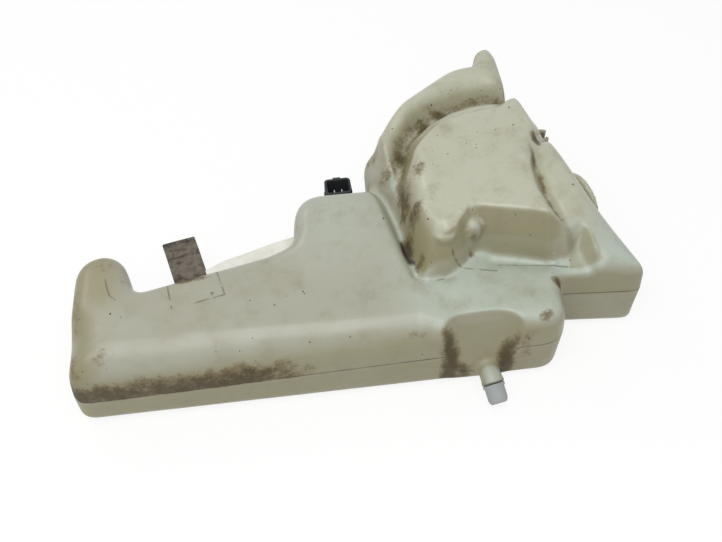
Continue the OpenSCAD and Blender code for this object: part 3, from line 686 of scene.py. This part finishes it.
@dataclass(frozen=True)
class TankFinish:
    """Cream blown plastic, greyer on the arm, with a dark seam, brown dirt and black specks. Its
    olive tint also paints shade on steep walls, in hollows and below the seam, its dirt paints
    shade in hollows, below the seam and in the crevice, its cool tint paints light on level faces
    and its black paints the shadow in the slit.
    """

    name: str = "tank_plastic"
    arm: Colour = srgb(182, 182, 165)
    # Lighter, cooler colour: a cool tint and painted light on level faces.
    cool_and_lit: Colour = srgb(195, 205, 191)
    cream: Colour = srgb(203, 204, 182)
    # Olive: a tint that also paints shade on steep walls, in hollows and below the seam.
    olive_and_shade: Colour = srgb(157, 151, 116)
    brown: Colour = srgb(128, 112, 78)
    film: Colour = srgb(150, 142, 112)
    dirt: Colour = srgb(78, 68, 42)
    black: Colour = srgb(26, 24, 20)
    lines: tuple = (
        (-153.2, -9.4, -150.8, -34.0), (-134.0, -32.0, -109.9, -27.5),
        (-114.7, -1.6, -109.9, -27.0), (66.4, -28.7, 101.1, -37.2),
        (-199.7, 0.4, -198.5, -8.2), (-198.5, -8.2, -196.9, -15.4),
        (-196.9, -15.4, -192.5, -20.0), (47.8, -38.6, 60.0, -37.0),
        (104.0, -30.0, 162.0, -39.0))

    def material(self) -> Material:
        """Material that reads the skin's marks."""
        material, g, shader = new_material(self.name)
        place = g.object_place()
        colour = g.mix(g.attribute(Mark.CREAM), self.arm, self.cream)
        # Painted light: a lighter, cooler colour on level faces of the right half and the bulge.
        colour = g.mix(g.attribute(Mark.COOL_AND_LIT), colour, self.cool_and_lit)
        slow = g.noise(place, 14.0, 3.0)
        colour = g.mix(g.step(slow, 0.45, 0.7, (0.0, 0.24)), colour, self.film)
        # Olive tint, which also paints shade on steep walls, in hollows and below the seam.
        colour = g.mix(g.times(g.attribute(Mark.OLIVE_AND_SHADE), 0.9), colour, self.olive_and_shade)
        patch = g.noise(place, 55.0, 6.0, 0.7)
        colour = g.mix(g.step(patch, 0.46, 0.76, (0.0, 0.4)), colour, self.film)
        scuff = g.group(EFFECTS.scuffs, vector=place, scale=24.0)
        colour = g.mix(g.times(scuff, 0.3), colour, self.film)
        # Brown and dark dirt, which also paints shade in hollows, below the seam and in the
        # crevice.
        soil = g.group(EFFECTS.soiling, vector=place, amount=g.attribute(Mark.SOIL_AND_SHADE), scale=95.0)
        colour = g.mix(g.step(soil, 0.0, 0.55, (0.0, 0.8)), colour, self.brown)
        colour = g.mix(g.step(soil, 0.35, 1.0, (0.0, 0.9)), colour, self.dirt)
        mould = g.times(plan_lines(g, place, self.lines, 0.0009), 0.55)
        colour = g.mix(mould, colour, self.dirt)
        gap = g.math("ABSOLUTE", g.attribute(Mark.SEAM))
        near = g.step(g.attribute(Mark.EDGE), 3.0, 6.0, (1.0, 0.0))
        seam = g.times(g.step(gap, 0.3, 0.85, (1.0, 0.0)), near)
        worn = g.step(g.noise(place, 45.0, 3.0), 0.25, 0.6, (0.35, 0.9))
        colour = g.mix(g.times(seam, worn), colour, self.dirt)
        # Black: painted shadow in the slit, and the dark joint at the spout's fitting.
        colour = g.mix(g.attribute(Mark.DARK), colour, self.black)
        share = g.step(g.attribute(Mark.CREAM), 0.0, 1.0, (0.3, 0.95))
        speck = g.math("MAXIMUM", g.group(EFFECTS.specks, vector=place, scale=95.0, share=share),
                       g.group(EFFECTS.specks, vector=place, scale=140.0, share=share))
        colour = g.mix(g.times(speck, 0.9), colour, self.black)
        rough = g.math("ADD", g.step(slow, 0.3, 0.7, (0.27, 0.4)), g.times(soil, 0.3))
        g.fill(shader, {
            "Base Color": colour, "Roughness": g.math("ADD", rough, g.times(scuff, 0.1)),
            "IOR": 1.5, "Subsurface Weight": 0.12, "Subsurface Radius": (1.0, 0.95, 0.6),
            "Subsurface Scale": 0.004})
        height = g.group(EFFECTS.grain, vector=place, scale=48.0)
        height = g.math("SUBTRACT", height, g.times(g.math("ADD", mould, seam), 0.5))
        bump(g, shader, g.math("ADD", height, g.times(soil, 0.2)), 0.22, 0.0022)
        return material


@dataclass(frozen=True)
class WornFinish:
    """One colour with patches of dirt, scratches, dark drawn lines and a fine grain; the tongue's
    drawn lines are painted shade along its crease and at its root.
    """

    name: str
    colour: Colour
    patch: Colour
    dirt: Colour = srgb(70, 60, 42)
    amount: float = 0.3
    roughness: float = 0.45
    metallic: float = 0.0
    specular: float = 0.5
    scale: float = 120.0
    depth: float = 0.0006
    lines: tuple = ()

    def material(self) -> Material:
        """Material on Object coordinates alone."""
        material, g, shader = new_material(self.name)
        place = g.object_place()
        slow = g.noise(place, self.scale * 0.5, 4.0, 0.6)
        colour = g.mix(g.step(slow, 0.4, 0.68), self.colour, self.patch)
        patchy = g.step(g.noise(place, self.scale * 0.3, 3.0), 0.3, 0.75, (0.0, self.amount))
        soil = g.group(EFFECTS.soiling, vector=place, amount=patchy, scale=self.scale)
        colour = g.mix(soil, colour, self.dirt)
        scuff = g.group(EFFECTS.scuffs, vector=place, scale=self.scale * 0.6)
        colour = g.mix(g.times(scuff, 0.2), colour, self.patch)
        # Drawn lines in the dirt colour; on the tongue they are painted shade at its crease and its
        # root.
        if self.lines:
            drawn = plan_lines(g, place, self.lines, 0.0016)
            colour = g.mix(g.times(drawn, 0.7), colour, self.dirt)
        spread = (self.roughness - 0.06, self.roughness + 0.06)
        rough = g.math("ADD", g.step(slow, 0.3, 0.7, spread), g.times(soil, 0.25))
        g.fill(shader, {"Base Color": colour, "Roughness": rough, "Metallic": self.metallic,
                        "Specular IOR Level": self.specular})
        grain = g.group(EFFECTS.grain, vector=place, scale=self.scale * 1.5)
        bump(g, shader, grain, 0.3, self.depth)
        return material


class Finish(Enum):
    """Finishes of every piece but the tank's shell."""

    # The tongue's lines are painted shade: one along its crease and three in the gap at its root.
    TONGUE = WornFinish(
        "tongue_plastic", srgb(112, 103, 90), srgb(88, 80, 69), srgb(38, 32, 24), amount=0.75,
        roughness=0.55, scale=320.0, lines=(
            (-153.5, 28.9, -125.7, 34.9), (-146.0, 1.5, -124.0, 5.5),
            (-142.0, 3.5, -128.0, 6.5), (-139.0, 6.5, -131.0, 8.0)))
    WEB = WornFinish("web_plastic", srgb(250, 250, 242), srgb(236, 236, 224), amount=0.2,
                     roughness=0.35)
    CLIP = WornFinish("clip_plastic", srgb(178, 170, 152), srgb(140, 130, 112), amount=0.5)
    FITTING = WornFinish("fitting_plastic", srgb(166, 169, 165), srgb(140, 143, 140),
                         roughness=0.42)
    RUBBER = WornFinish("grommet_rubber", srgb(34, 34, 33), srgb(48, 47, 44), roughness=0.7)
    STRAINER = WornFinish("strainer_plastic", srgb(214, 214, 206), srgb(196, 196, 184), amount=0.2)
    PUMP = WornFinish("pump_plastic", srgb(17, 22, 22), srgb(30, 36, 35), srgb(82, 78, 66),
                      amount=0.28, roughness=0.36)
    BRONZE = WornFinish("bush_bronze", srgb(150, 108, 58), srgb(120, 84, 46), amount=0.1,
                        roughness=0.4, metallic=1.0)
    STEEL = WornFinish("steel", srgb(176, 178, 180), srgb(142, 144, 146), amount=0.12,
                       roughness=0.32, metallic=1.0)
    COPPER = WornFinish("copper", srgb(190, 112, 72), srgb(156, 88, 56), amount=0.1,
                        roughness=0.35, metallic=1.0)
    FERRITE = WornFinish("ferrite", srgb(52, 52, 54), srgb(66, 66, 68), amount=0.1, roughness=0.6)
    CARD = WornFinish("card", srgb(150, 122, 76), srgb(126, 100, 62), amount=0.1, roughness=0.6)
    CARBON = WornFinish("carbon", srgb(38, 38, 40), srgb(54, 54, 56), amount=0.1, roughness=0.55)

    def material(self) -> Material:
        """The finish's material, made once."""
        return bpy.data.materials.get(self.value.name) or self.value.material()


def settle(obj: Object, material: Material, slot: str, *nodes: str) -> None:
    """Give a new piece its finish and its body, and hide the solids that it stands for."""
    obj.data.materials.append(material)
    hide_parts(*nodes)
    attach(obj, BODY)
    LOG.info("%s: %d faces", obj.name, len(obj.data.polygons))


class Survey:
    """Measures at each vertex of the tank's skin, which its marks are worked out from."""

    hollow_full: float = 1.6

    def __init__(self, mesh: Mesh) -> None:
        """Measure a finished skin."""
        self.co = places(mesh)
        x, y, z = self.x, self.y, self.z = self.co.T
        self.gap = ring_gap(x, y, FORM.outline())
        self.rise = z - FORM.seam(x, y)
        self.steep = 1 - np.clip(normals(mesh)[:, 2], 0, 1)
        self.hollow = np.clip(self.hollows(mesh) / self.hollow_full, 0, 1)
        dish = rising(x, 44, 6) * falling(x, 125, 6) * falling(y, -66, 4)
        self.front = np.maximum(rising(self.rise, 0, 4), dish)
        self.block = rising(FORM.block(x, y), 84, 14) * rising(x, 20, 20)
        self.below = falling(self.rise, -1, 3) * falling(y, -40, 20)
        self.groove = bell(path_gap(x, y, FORM.groove) / 7) * self.block

    def hollows(self, mesh: Mesh) -> Array:
        """How hollow the skin is at each vertex, from its neighbours' height along its normal.

        The neighbours' places, and then the heights, are averaged over the skin a few times.

        Args:
            mesh: The finished skin.

        Returns:
            Millimetres, positive in a hollow.
        """
        pairs = np.zeros(len(mesh.edges) * 2, np.int32)
        mesh.edges.foreach_get("vertices", pairs)
        pairs = pairs.reshape(-1, 2)
        total = len(self.co)
        count = np.maximum(np.bincount(pairs.ravel(), minlength=total), 1)

        def mean(values: Array) -> Array:
            """Mean of each vertex's neighbours."""
            columns = [np.bincount(pairs[:, 0], column[pairs[:, 1]], total)
                       + np.bincount(pairs[:, 1], column[pairs[:, 0]], total)
                       for column in values.T]
            return np.stack(columns, 1) / count[:, None]

        spread = self.co
        for _ in range(14):
            spread = mean(spread)
        rise = ((spread - self.co) * normals(mesh)).sum(1)[:, None]
        for _ in range(4):
            rise = mean(rise)
        return rise[:, 0]


@dataclass
class TankShell:
    """The blown tank with its spout and collar, as one even skin with its marks.

    A spot of dirt is given by its place in plan, its reach along X and Y and its amount.
    """

    station_step: float = 1.1
    rows: int = 210
    back_rows: int = 64
    voxel: float = 1.8
    sharp: float = math.radians(50)
    # Slit beside the bulge, painted black as the shadow in its crevice.
    slit: Line = ((32, 2), (34, -8), (37, -17), (41, -19))
    end_patch: Line = ((163, -24), (161, -39), (183, -40), (180, -22), (176, -15))
    # Spots of dirt; the spot at (36, -6) lies in the crevice beside the bulge and is painted
    # shadow.
    soil_spots: Line = (
        (131, 124, 15, 6, 1.0), (146, 116, 6, 6, 0.9), (72, 108, 9, 8, 1.0), (92, 120, 22, 6, 0.75),
        (45, 76, 7, 16, 0.8), (40, 38, 6, 18, 0.7), (44, 4, 7, 10, 0.75), (36, -6, 5, 12, 1.0),
        (42, -24, 6, 5, 0.7), (153, 62, 5, 6, 1.0), (146, 42, 4, 14, 0.7), (150, 12, 3, 12, 0.5),
        (84, -21, 5, 3, 0.6), (76, -10, 3, 5, 0.5), (147, -52, 6, 6, 1.0), (130, -82, 8, 5, 0.65),
        (57, -86, 9, 9, 1.0), (66, -90, 8, 6, 0.9), (101, -88, 9, 6, 1.0), (116, -90, 12, 3, 0.5),
        (-136, -7, 16, 5, 0.9), (-119, -25, 2, 2, 0.9), (30, 62, 8, 14, 0.55), (52, 42, 7, 14, 0.6),
        (56, 10, 6, 10, 0.45), (-228, -70, 8, 20, 0.5), (-190, -2, 12, 5, 0.35),
        (-205, 15, 18, 14, 0.42), (-90, 7, 34, 3, 0.5), (-224, -20, 10, 40, 0.42),
        (-205, -66, 14, 14, 0.4), (-48, 20, 4, 14, 0.4), (24, 92, 8, 12, 0.5),
        (58, 138, 22, 8, 0.35), (30, -80, 18, 4, 0.4), (120, 160, 10, 6, 0.5))

    def sections(self) -> Array:
        """Rings across the tank at stations along X: the front from edge to edge, then the back.

        A ring's points lie close together at both edges, and its heights are those of the form.

        Returns:
            The rings in millimetres, shaped (stations, points, 3).
        """
        ring = FORM.outline()
        low, high = ring[:, 0].min() + 0.4, ring[:, 0].max() - 0.4
        even = np.linspace(low, high, int((high - low) / self.station_step))
        turns = ring[(ring[:, 0] > low) & (ring[:, 0] < high), 0]
        x = np.unique(np.round(np.concatenate([even, turns - 0.15, turns + 0.15]), 2))
        x = x[(x >= low) & (x <= high)]
        a, b = ring, np.roll(ring, -1, 0)
        run = np.where(a[:, 0] == b[:, 0], 1e-9, b[:, 0] - a[:, 0])
        t = (x[None, :] - a[:, 0, None]) / run[:, None]
        y = a[:, 1, None] + t * (b[:, 1] - a[:, 1])[:, None]
        met = (t >= 0) & (t <= 1)
        first = np.where(met, y, np.inf).min(0)
        last = np.where(met, y, -np.inf).max(0)
        share = 0.5 - 0.5 * np.cos(np.linspace(0, math.pi, self.rows))
        fewer = 0.5 - 0.5 * np.cos(np.linspace(0, math.pi, self.back_rows))[1:-1][::-1]
        parts = []
        for shares, height in ((share, FORM.front), (fewer, FORM.back)):
            gx = np.repeat(x[:, None], len(shares), 1)
            gy = first[:, None] + (last - first)[:, None] * shares[None, :]
            parts.append(np.stack([gx, gy, height(gx, gy, ring_gap(gx, gy, ring))], -1))
        return np.concatenate(parts, 1)

    @staticmethod
    def spout() -> Array:
        """Rings along the spout: straight out of the dish, bent down, with a bead at its mouth."""
        root, lead, radius, tail = (84.3, -74.0, 20.0), 15.0, 16.0, 5.0
        bend, yaw = math.radians(30), math.radians(10.5)
        turn = np.linspace(0, bend, 12)
        out = np.concatenate([[-4.0, 4.0, 10.0], lead + radius * np.sin(turn)])
        fall = np.concatenate([np.zeros(3), radius * (1 - np.cos(turn))])
        tilt = np.concatenate([np.zeros(3), turn])
        ends = np.array([1.4, 1.8, 2.3, 2.9, 4.3, 4.8, 5.0]) / 5.0 * tail
        bead = [8.5, 8.9, 9.3, 9.35, 9.35, 9.1, 8.6]
        out = np.concatenate([out, out[-1] + ends * math.cos(bend)])
        fall = np.concatenate([fall, fall[-1] + ends * math.sin(bend)])
        tilt = np.concatenate([tilt, np.full(len(ends), bend)])
        r = np.concatenate([[11.5, 10.5, 9.2], np.full(len(turn), 8.5), bead])[:, None]
        k = np.linspace(0, 2 * math.pi, 48, endpoint=False)[None, :]
        side, up = r * np.cos(k), r * np.sin(k)
        y = -out[:, None] - up * np.sin(tilt)[:, None]
        z = -fall[:, None] + up * np.cos(tilt)[:, None]
        x = side * math.cos(yaw) - y * math.sin(yaw)
        y = side * math.sin(yaw) + y * math.cos(yaw)
        return np.stack([root[0] + x, root[1] + y, root[2] + z], -1)

    @staticmethod
    def collar() -> Array:
        """Rings of the filler collar: a neck with a rounded bead at its rim."""
        return revolve(COLLAR, [
            (-14, 0), (-14, 21), (-4, 20.6), (2, 20), (10.2, 20), (11, 20.6), (11.8, 23.6),
            (12.6, 24.6), (15, 24.8), (16.4, 24.2), (17, 22.8), (17, 0)], 96)

    @staticmethod
    def knobs() -> list[Array]:
        """Two rounded knobs on the block's front edge, each an ellipsoid of circles along X."""
        turn = np.linspace(0, math.pi, 24)[:, None]
        round_ = np.linspace(0, 2 * math.pi, 32, endpoint=False)[None, :]
        made = []
        for centre, reach in (((61, -22, 109), (9, 7, 7)), ((85, -13, 101), (8, 7, 11))):
            x = -np.cos(turn) + 0 * round_
            y = np.sin(turn) * np.cos(round_)
            z = np.sin(turn) * np.sin(round_)
            made.append(np.array(centre) + np.stack([x, y, z], -1)[1:-1] * np.array(reach))
        return made

    @staticmethod
    def cutters() -> list[Object]:
        """Bodies of the collar's bore and of the pump's recess, which is an arch open downwards."""
        bore = revolve(COLLAR, [(-44, 0), (-44, 17), (30, 17), (30, 0)], 96)
        r, foot, reach = 17.5, -60.0, 120.0
        arch = np.linspace(0, math.pi, 40)
        across = np.concatenate([r * np.cos(arch), [-r, r]])[None, :]
        up = np.concatenate([r * np.sin(arch), [foot, foot]])[None, :]
        along = np.array([[0.0], [reach]])
        recess = PUMP.put(along + 0 * across, across + 0 * along, up + 0 * along)
        return [skin("bore_cutter", [bore]), skin("recess_cutter", [recess])]

    def build(self) -> Object:
        """Skin through the sections, spout and collar, evened out, with the bore and recess cut."""
        lofts = [self.sections(), self.spout(), self.collar(), *self.knobs()]
        rough = skin("tank_rough", lofts)
        even = rough.modifiers.new("even", "REMESH")
        even.mode = "VOXEL"
        even.voxel_size = self.voxel * MM
        soft = rough.modifiers.new("soft", "SMOOTH")
        soft.factor = 0.5
        soft.iterations = 2
        cutters = self.cutters()
        for cutter in cutters:
            cut = rough.modifiers.new(cutter.name, "BOOLEAN")
            cut.operation = "DIFFERENCE"
            cut.object = cutter
            cut.solver = "EXACT"
        mesh = finished(rough)
        for old in [rough, *cutters]:
            bpy.data.objects.remove(old)
        mesh.name = "tank_shell"
        smooth(mesh, True)
        mesh.set_sharp_from_angle(angle=self.sharp)
        return add("tank_shell", mesh)

    def soil(self, at: Survey) -> Array:
        """Dirt and painted shade: dirt at listed spots, on the front wall above the seam, at the
        seam and in the groove; painted shade in hollows, below the seam at the front and, by one
        listed spot, in the crevice beside the bulge.
        """
        spots = np.zeros(len(at.co))
        for x, y, wide, deep, amount in self.soil_spots:
            away = np.hypot((at.x - x) / wide, (at.y - y) / deep)
            spots = np.maximum(spots, amount * bell(away))
        band = rising(at.rise, -4, 4) * falling(at.rise, 30, 22) \
            * falling(at.y, -58, 10) * falling(at.x, -10, 90)
        edge = falling(np.abs(at.rise), 6, 6) * falling(at.gap, 6, 3)
        # The hollow and below terms are painted shade in hollows and on the skin below the seam.
        return np.maximum.reduce([
            spots * (0.25 + 0.75 * at.front), 0.75 * at.hollow * (0.35 + 0.65 * at.block),
            0.82 * band, 0.24 * at.below, 0.3 * edge, 0.85 * at.groove])

    def olive_and_shade(self, at: Survey) -> Array:
        """Olive tint that also paints shade on steep walls, in the block's hollows and below the
        seam: steep walls, hollows of the block, the arm's end and the front's foot.
        """
        patch = ramp(1 - beyond(at.x, at.y, self.end_patch) / 2)
        walls = (0.55 + 0.35 * rising(at.x, 60, 60)) * rising(at.steep, 0.35, 0.5) * (1 - at.below)
        lobe = falling(at.x, -180, 25) * rising(at.y, -40, 30)
        foot = falling(at.rise, 30, 14) * falling(at.y, -52, 12)
        return np.maximum.reduce([
            at.block * rising(at.steep, 0.3, 0.4), 0.8 * at.hollow * at.block, 0.9 * at.groove,
            0.7 * patch, walls, 0.95 * lobe, falling(at.x, -198, 25), 0.8 * foot, at.below])

    @staticmethod
    def cool_and_lit(at: Survey) -> Array:
        """Cool tint and painted light: a lighter colour on level parts of the face's right half and
        of the bulge.
        """
        level = falling(at.steep, 0.5, 0.3) * (1 - at.block)
        bulge = bell(np.hypot((at.x + 15) / 45, (at.y - 30) / 40))
        return level * np.maximum(rising(at.x, 0, 60), 0.55 * bulge)

    def dark(self, at: Survey) -> Array:
        """Black: painted shadow in the slit beside the bulge, and the dark joint between the spout
        and its fitting.
        """
        slit = bell(path_gap(at.x, at.y, self.slit) / 2.2) * falling(at.z, 80, 6) * at.front
        rel = at.co - np.array(MOUTH.origin)
        near = np.hypot(rel[:, 0], rel[:, 1]) < 14
        joint = bell(rel @ MOUTH.axes()[0] + 0.6) * near
        return np.maximum(1.2 * slit, 0.85 * joint)

    def dress(self, obj: Object) -> None:
        """Work out the marks on the skin and give it its finish."""
        at = Survey(obj.data)
        shares = {Mark.SOIL_AND_SHADE: self.soil(at), Mark.CREAM: at.block, Mark.OLIVE_AND_SHADE: self.olive_and_shade(at),
                  Mark.COOL_AND_LIT: self.cool_and_lit(at), Mark.DARK: self.dark(at)}
        for mark, values in shares.items():
            store(obj.data, mark, np.clip(values, 0, 1))
        store(obj.data, Mark.SEAM, at.rise)
        store(obj.data, Mark.EDGE, at.gap)
        settle(obj, TankFinish().material(), "tank_plastic", "tank")


@dataclass
class Fixings:
    """Thin moulded pieces on the tank: the fixing tongue, its web and the hose clip."""

    notch: tuple[float, float] = (-178.0, -9.0)
    corner: tuple[float, float] = (-53.0, 14.0)
    tongue_at: float = 45.0
    tongue_reach: float = 53.0
    crease: float = 35.0
    droop: float = math.radians(8)
    clip_at: float = 86.0
    height: float = 56.0
    sides: int = 40

    def root(self, outwards: bool) -> Place:
        """Place of the tongue's root on the arm's rear edge, along that edge or out from it."""
        a, b = np.array(self.notch), np.array(self.corner)
        d = unit(b - a)
        foot = a + d * self.tongue_at
        along = (-d[1], d[0], 0.0) if outwards else (d[0], d[1], 0.0)
        return Place((foot[0], foot[1], self.height), along, (0.0, 0.0, 1.0))

    def tongue(self) -> Object:
        """Flat bar with a fold: its section runs out from the edge, and droops past the crease."""
        end = self.tongue_reach
        out = np.concatenate([[-8.0], np.linspace(-7.4, 34.0, 24), np.linspace(34.6, 52.4, 18),
                              [52.8, end]])
        past = out - self.crease
        drop = np.where(past > 0, past * math.tan(self.droop), 0.0)
        wave = 0.25 * np.sin(out / 6.0)
        tip = np.clip((end - out) / 1.2, 0.0, 1.0)
        half = 13.5 - 1.0 * (1 - np.sqrt(1 - (1 - tip) ** 2))
        across, up = slab_ring(half[:, None], 1.5, 0.22, self.sides)
        up = up * (0.55 + 0.45 * tip[:, None]) + (wave - drop)[:, None]
        points = self.root(True).put(out[:, None] + 0 * across, across, up)
        return skin("fixing_tongue", [points], False)

    def web(self) -> Object:
        """Thin strip between tongue and bulge: a rounded section that widens along the edge."""
        overlap = 6.0
        along = np.linspace(12.6, 91.5, 60)
        far = np.interp(along, [12.5, 30, 52, 70, 92], [13.0, 18.0, 20.5, 22.5, 23.0])
        half = (far + overlap) / 2
        across, up = slab_ring(half[:, None], 1.3, 0.25, self.sides)
        lift = 0.5 * np.sin(along / 11.0)
        points = self.root(False).put(
            along[:, None] + 0 * across, across + (half - overlap)[:, None], up + lift[:, None])
        return skin("edge_web", [points])

    def clip(self) -> Object:
        """Open hook on the slanted edge: a rounded bar carried round most of a circle."""
        turn = np.linspace(math.radians(44), math.radians(316), 60)[:, None]
        across, up = slab_ring(np.full((60, 1), 1.35), 4.4, 0.4, self.sides)
        r = 5.05 + across
        foot = np.array([FORM.right_reach - 28, 0.0])
        d = unit(np.array([FORM.right_reach - 63, 95.0]) - foot)
        x, y = foot + d * self.clip_at + np.array([-1.5, 0.0])
        rings = np.stack([x + r * np.cos(turn), y + r * np.sin(turn), 94.5 + up], -1)
        return skin("hose_clip", [rings])

    def build(self) -> None:
        """Make and dress the three pieces."""
        settle(self.tongue(), Finish.TONGUE.material(), "tank_plastic", "tank")
        settle(self.web(), Finish.WEB.material(), "tank_plastic", "tank")
        settle(self.clip(), Finish.CLIP.material(), "tank_plastic", "tank")


@dataclass
class HoseFitting:
    """Grey end piece in the spout: a turned profile with a shoulder, a bevelled end and a bore."""

    profile: Line = (
        (-3.0, 0.0), (-3.0, 4.6), (14.2, 4.6), (14.9, 4.8), (15.3, 5.2), (15.4, 5.6), (15.2, 6.1),
        (14.6, 6.7), (13.6, 7.3), (12.4, 7.7), (11.2, 7.85), (3.2, 7.85), (2.6, 8.1), (2.2, 8.6),
        (1.6, 8.8), (0.6, 8.8), (0.1, 8.5), (0.05, 6.4), (-4.9, 6.4), (-4.9, 0.0))

    def build(self) -> None:
        """Make and dress the piece."""
        obj = skin("hose_fitting_skin", [revolve(MOUTH, self.profile, 64)])
        settle(obj, Finish.FITTING.material(), "fitting_plastic", "hose_fitting")


@dataclass
class PumpFinishes:
    """Finishes of the pump's own solids, which keep their shapes."""

    by_finish: dict = field(default_factory=lambda: {
        Finish.RUBBER: ("pump_grommet", "shaft_seal"),
        Finish.STRAINER: ("inlet_strainer", "impeller"),
        Finish.PUMP: ("pump_base", "volute_plate", "motor_cover"),
        Finish.BRONZE: ("lower_bush", "upper_bush"),
        Finish.STEEL: ("motor_shaft", "armature_core", "motor_can", "terminals"),
        Finish.COPPER: ("armature_windings", "commutator"),
        Finish.FERRITE: ("magnets",),
        Finish.CARD: ("brush_card",),
        Finish.CARBON: ("brushes",)})

    def dress(self) -> None:
        """Give each solid its finish."""
        for finish, names in self.by_finish.items():
            for name in names:
                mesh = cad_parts[name].data
                mesh.materials.clear()
                mesh.materials.append(finish.material())
                LOG.info("%s: %s", name, finish.value.name)


@dataclass
class Studio:
    """Pale floor, soft light from above and the photograph's camera."""

    azimuth: float = -9.0
    elevation: float = 52.0
    distance: float = 0.95
    aim: tuple[float, float, float] = (0.0, 0.0, 0.05)
    lens: float = 58.74
    world_level: float = 0.36
    lamp_power: float = 8.2
    rim_share: float = 0.3
    floor_glow: float = 1.08
    glow_share: float = 0.8

    def white_ray(self, g: Graph) -> NodeSocket:
        """1 for rays that should see a white background, else 0."""
        path = g.node("ShaderNodeLightPath")
        seen = g.math("MAXIMUM", path.outputs["Is Camera Ray"], path.outputs["Is Transmission Ray"])
        return g.math("MAXIMUM", seen, path.outputs["Is Glossy Ray"])

    def floor(self) -> None:
        """Level floor that shows white with the object's shadow."""
        half, level = 4.0, -0.0006
        mesh = bpy.data.meshes.new("floor")
        corners = [(-half, -half, level), (half, -half, level), (half, half, level),
                   (-half, half, level)]
        mesh.from_pydata(corners, [], [(0, 1, 2, 3)])
        material, g, shader = new_material("floor")
        g.fill(shader, {"Base Color": (0.86, 0.86, 0.85, 1.0), "Roughness": 0.9,
                        "Specular IOR Level": 0.0})
        glow = g.node("ShaderNodeEmission")
        glow.inputs["Strength"].default_value = self.floor_glow
        both = g.node("ShaderNodeMixShader")
        g.feed(both.inputs[0], g.times(self.white_ray(g), self.glow_share))
        g.feed(both.inputs[1], shader.outputs[0])
        g.feed(both.inputs[2], glow.outputs[0])
        output = material.node_tree.nodes["Material Output"]
        g.feed(output.inputs["Surface"], both.outputs[0])
        mesh.materials.append(material)
        add("floor", mesh)

    def world(self) -> None:
        """Even white surroundings, brighter to the camera than to the object."""
        world = bpy.data.worlds.new("studio")
        world.use_nodes = True
        g = Graph(world.node_tree)
        ground = world.node_tree.nodes["Background"]
        ground.inputs["Color"].default_value = (1.0, 1.0, 1.0, 1.0)
        level = g.step(self.white_ray(g), 0.0, 1.0, (self.world_level, 1.0))
        g.feed(ground.inputs["Strength"], level)
        bpy.context.scene.world = world

    def lamp(self, name: str, place: tuple, size: float, power: float) -> None:
        """Square lamp that faces the object."""
        light = bpy.data.lights.new(name, "AREA")
        light.size = size
        light.energy = power
        obj = bpy.data.objects.new(name, light)
        obj.location = place
        towards = Vector(self.aim) - Vector(place)
        obj.rotation_euler = towards.to_track_quat("-Z", "Y").to_euler()
        bpy.context.scene.collection.objects.link(obj)

    def camera(self) -> None:
        """Camera at the photograph's angle and distance."""
        a, e = math.radians(self.azimuth), math.radians(self.elevation)
        back = Vector((math.sin(a) * math.cos(e), -math.cos(a) * math.cos(e), math.sin(e)))
        data = bpy.data.cameras.new("camera")
        data.lens = self.lens
        data.sensor_width = 36.0
        obj = bpy.data.objects.new("camera", data)
        obj.location = Vector(self.aim) + back * self.distance
        obj.rotation_euler = (-back).to_track_quat("-Z", "Y").to_euler()
        bpy.context.scene.collection.objects.link(obj)
        bpy.context.scene.camera = obj

    def build(self) -> None:
        """Set up the stage."""
        bpy.context.scene.view_settings.view_transform = "Standard"
        self.floor()
        self.world()
        self.lamp("key", (-0.15, -0.5, 1.25), 0.9, self.lamp_power)
        self.lamp("rim", (-0.7, 0.8, 1.0), 0.6, self.lamp_power * self.rim_share)
        self.camera()


def main() -> None:
    """Build the pieces in order, then the stage."""
    logging.basicConfig(level=logging.INFO, format="%(message)s")
    tank = TankShell()
    tank.dress(tank.build())
    Fixings().build()
    HoseFitting().build()
    PumpFinishes().dress()
    Studio().build()


if __name__ == "__main__":
    main()
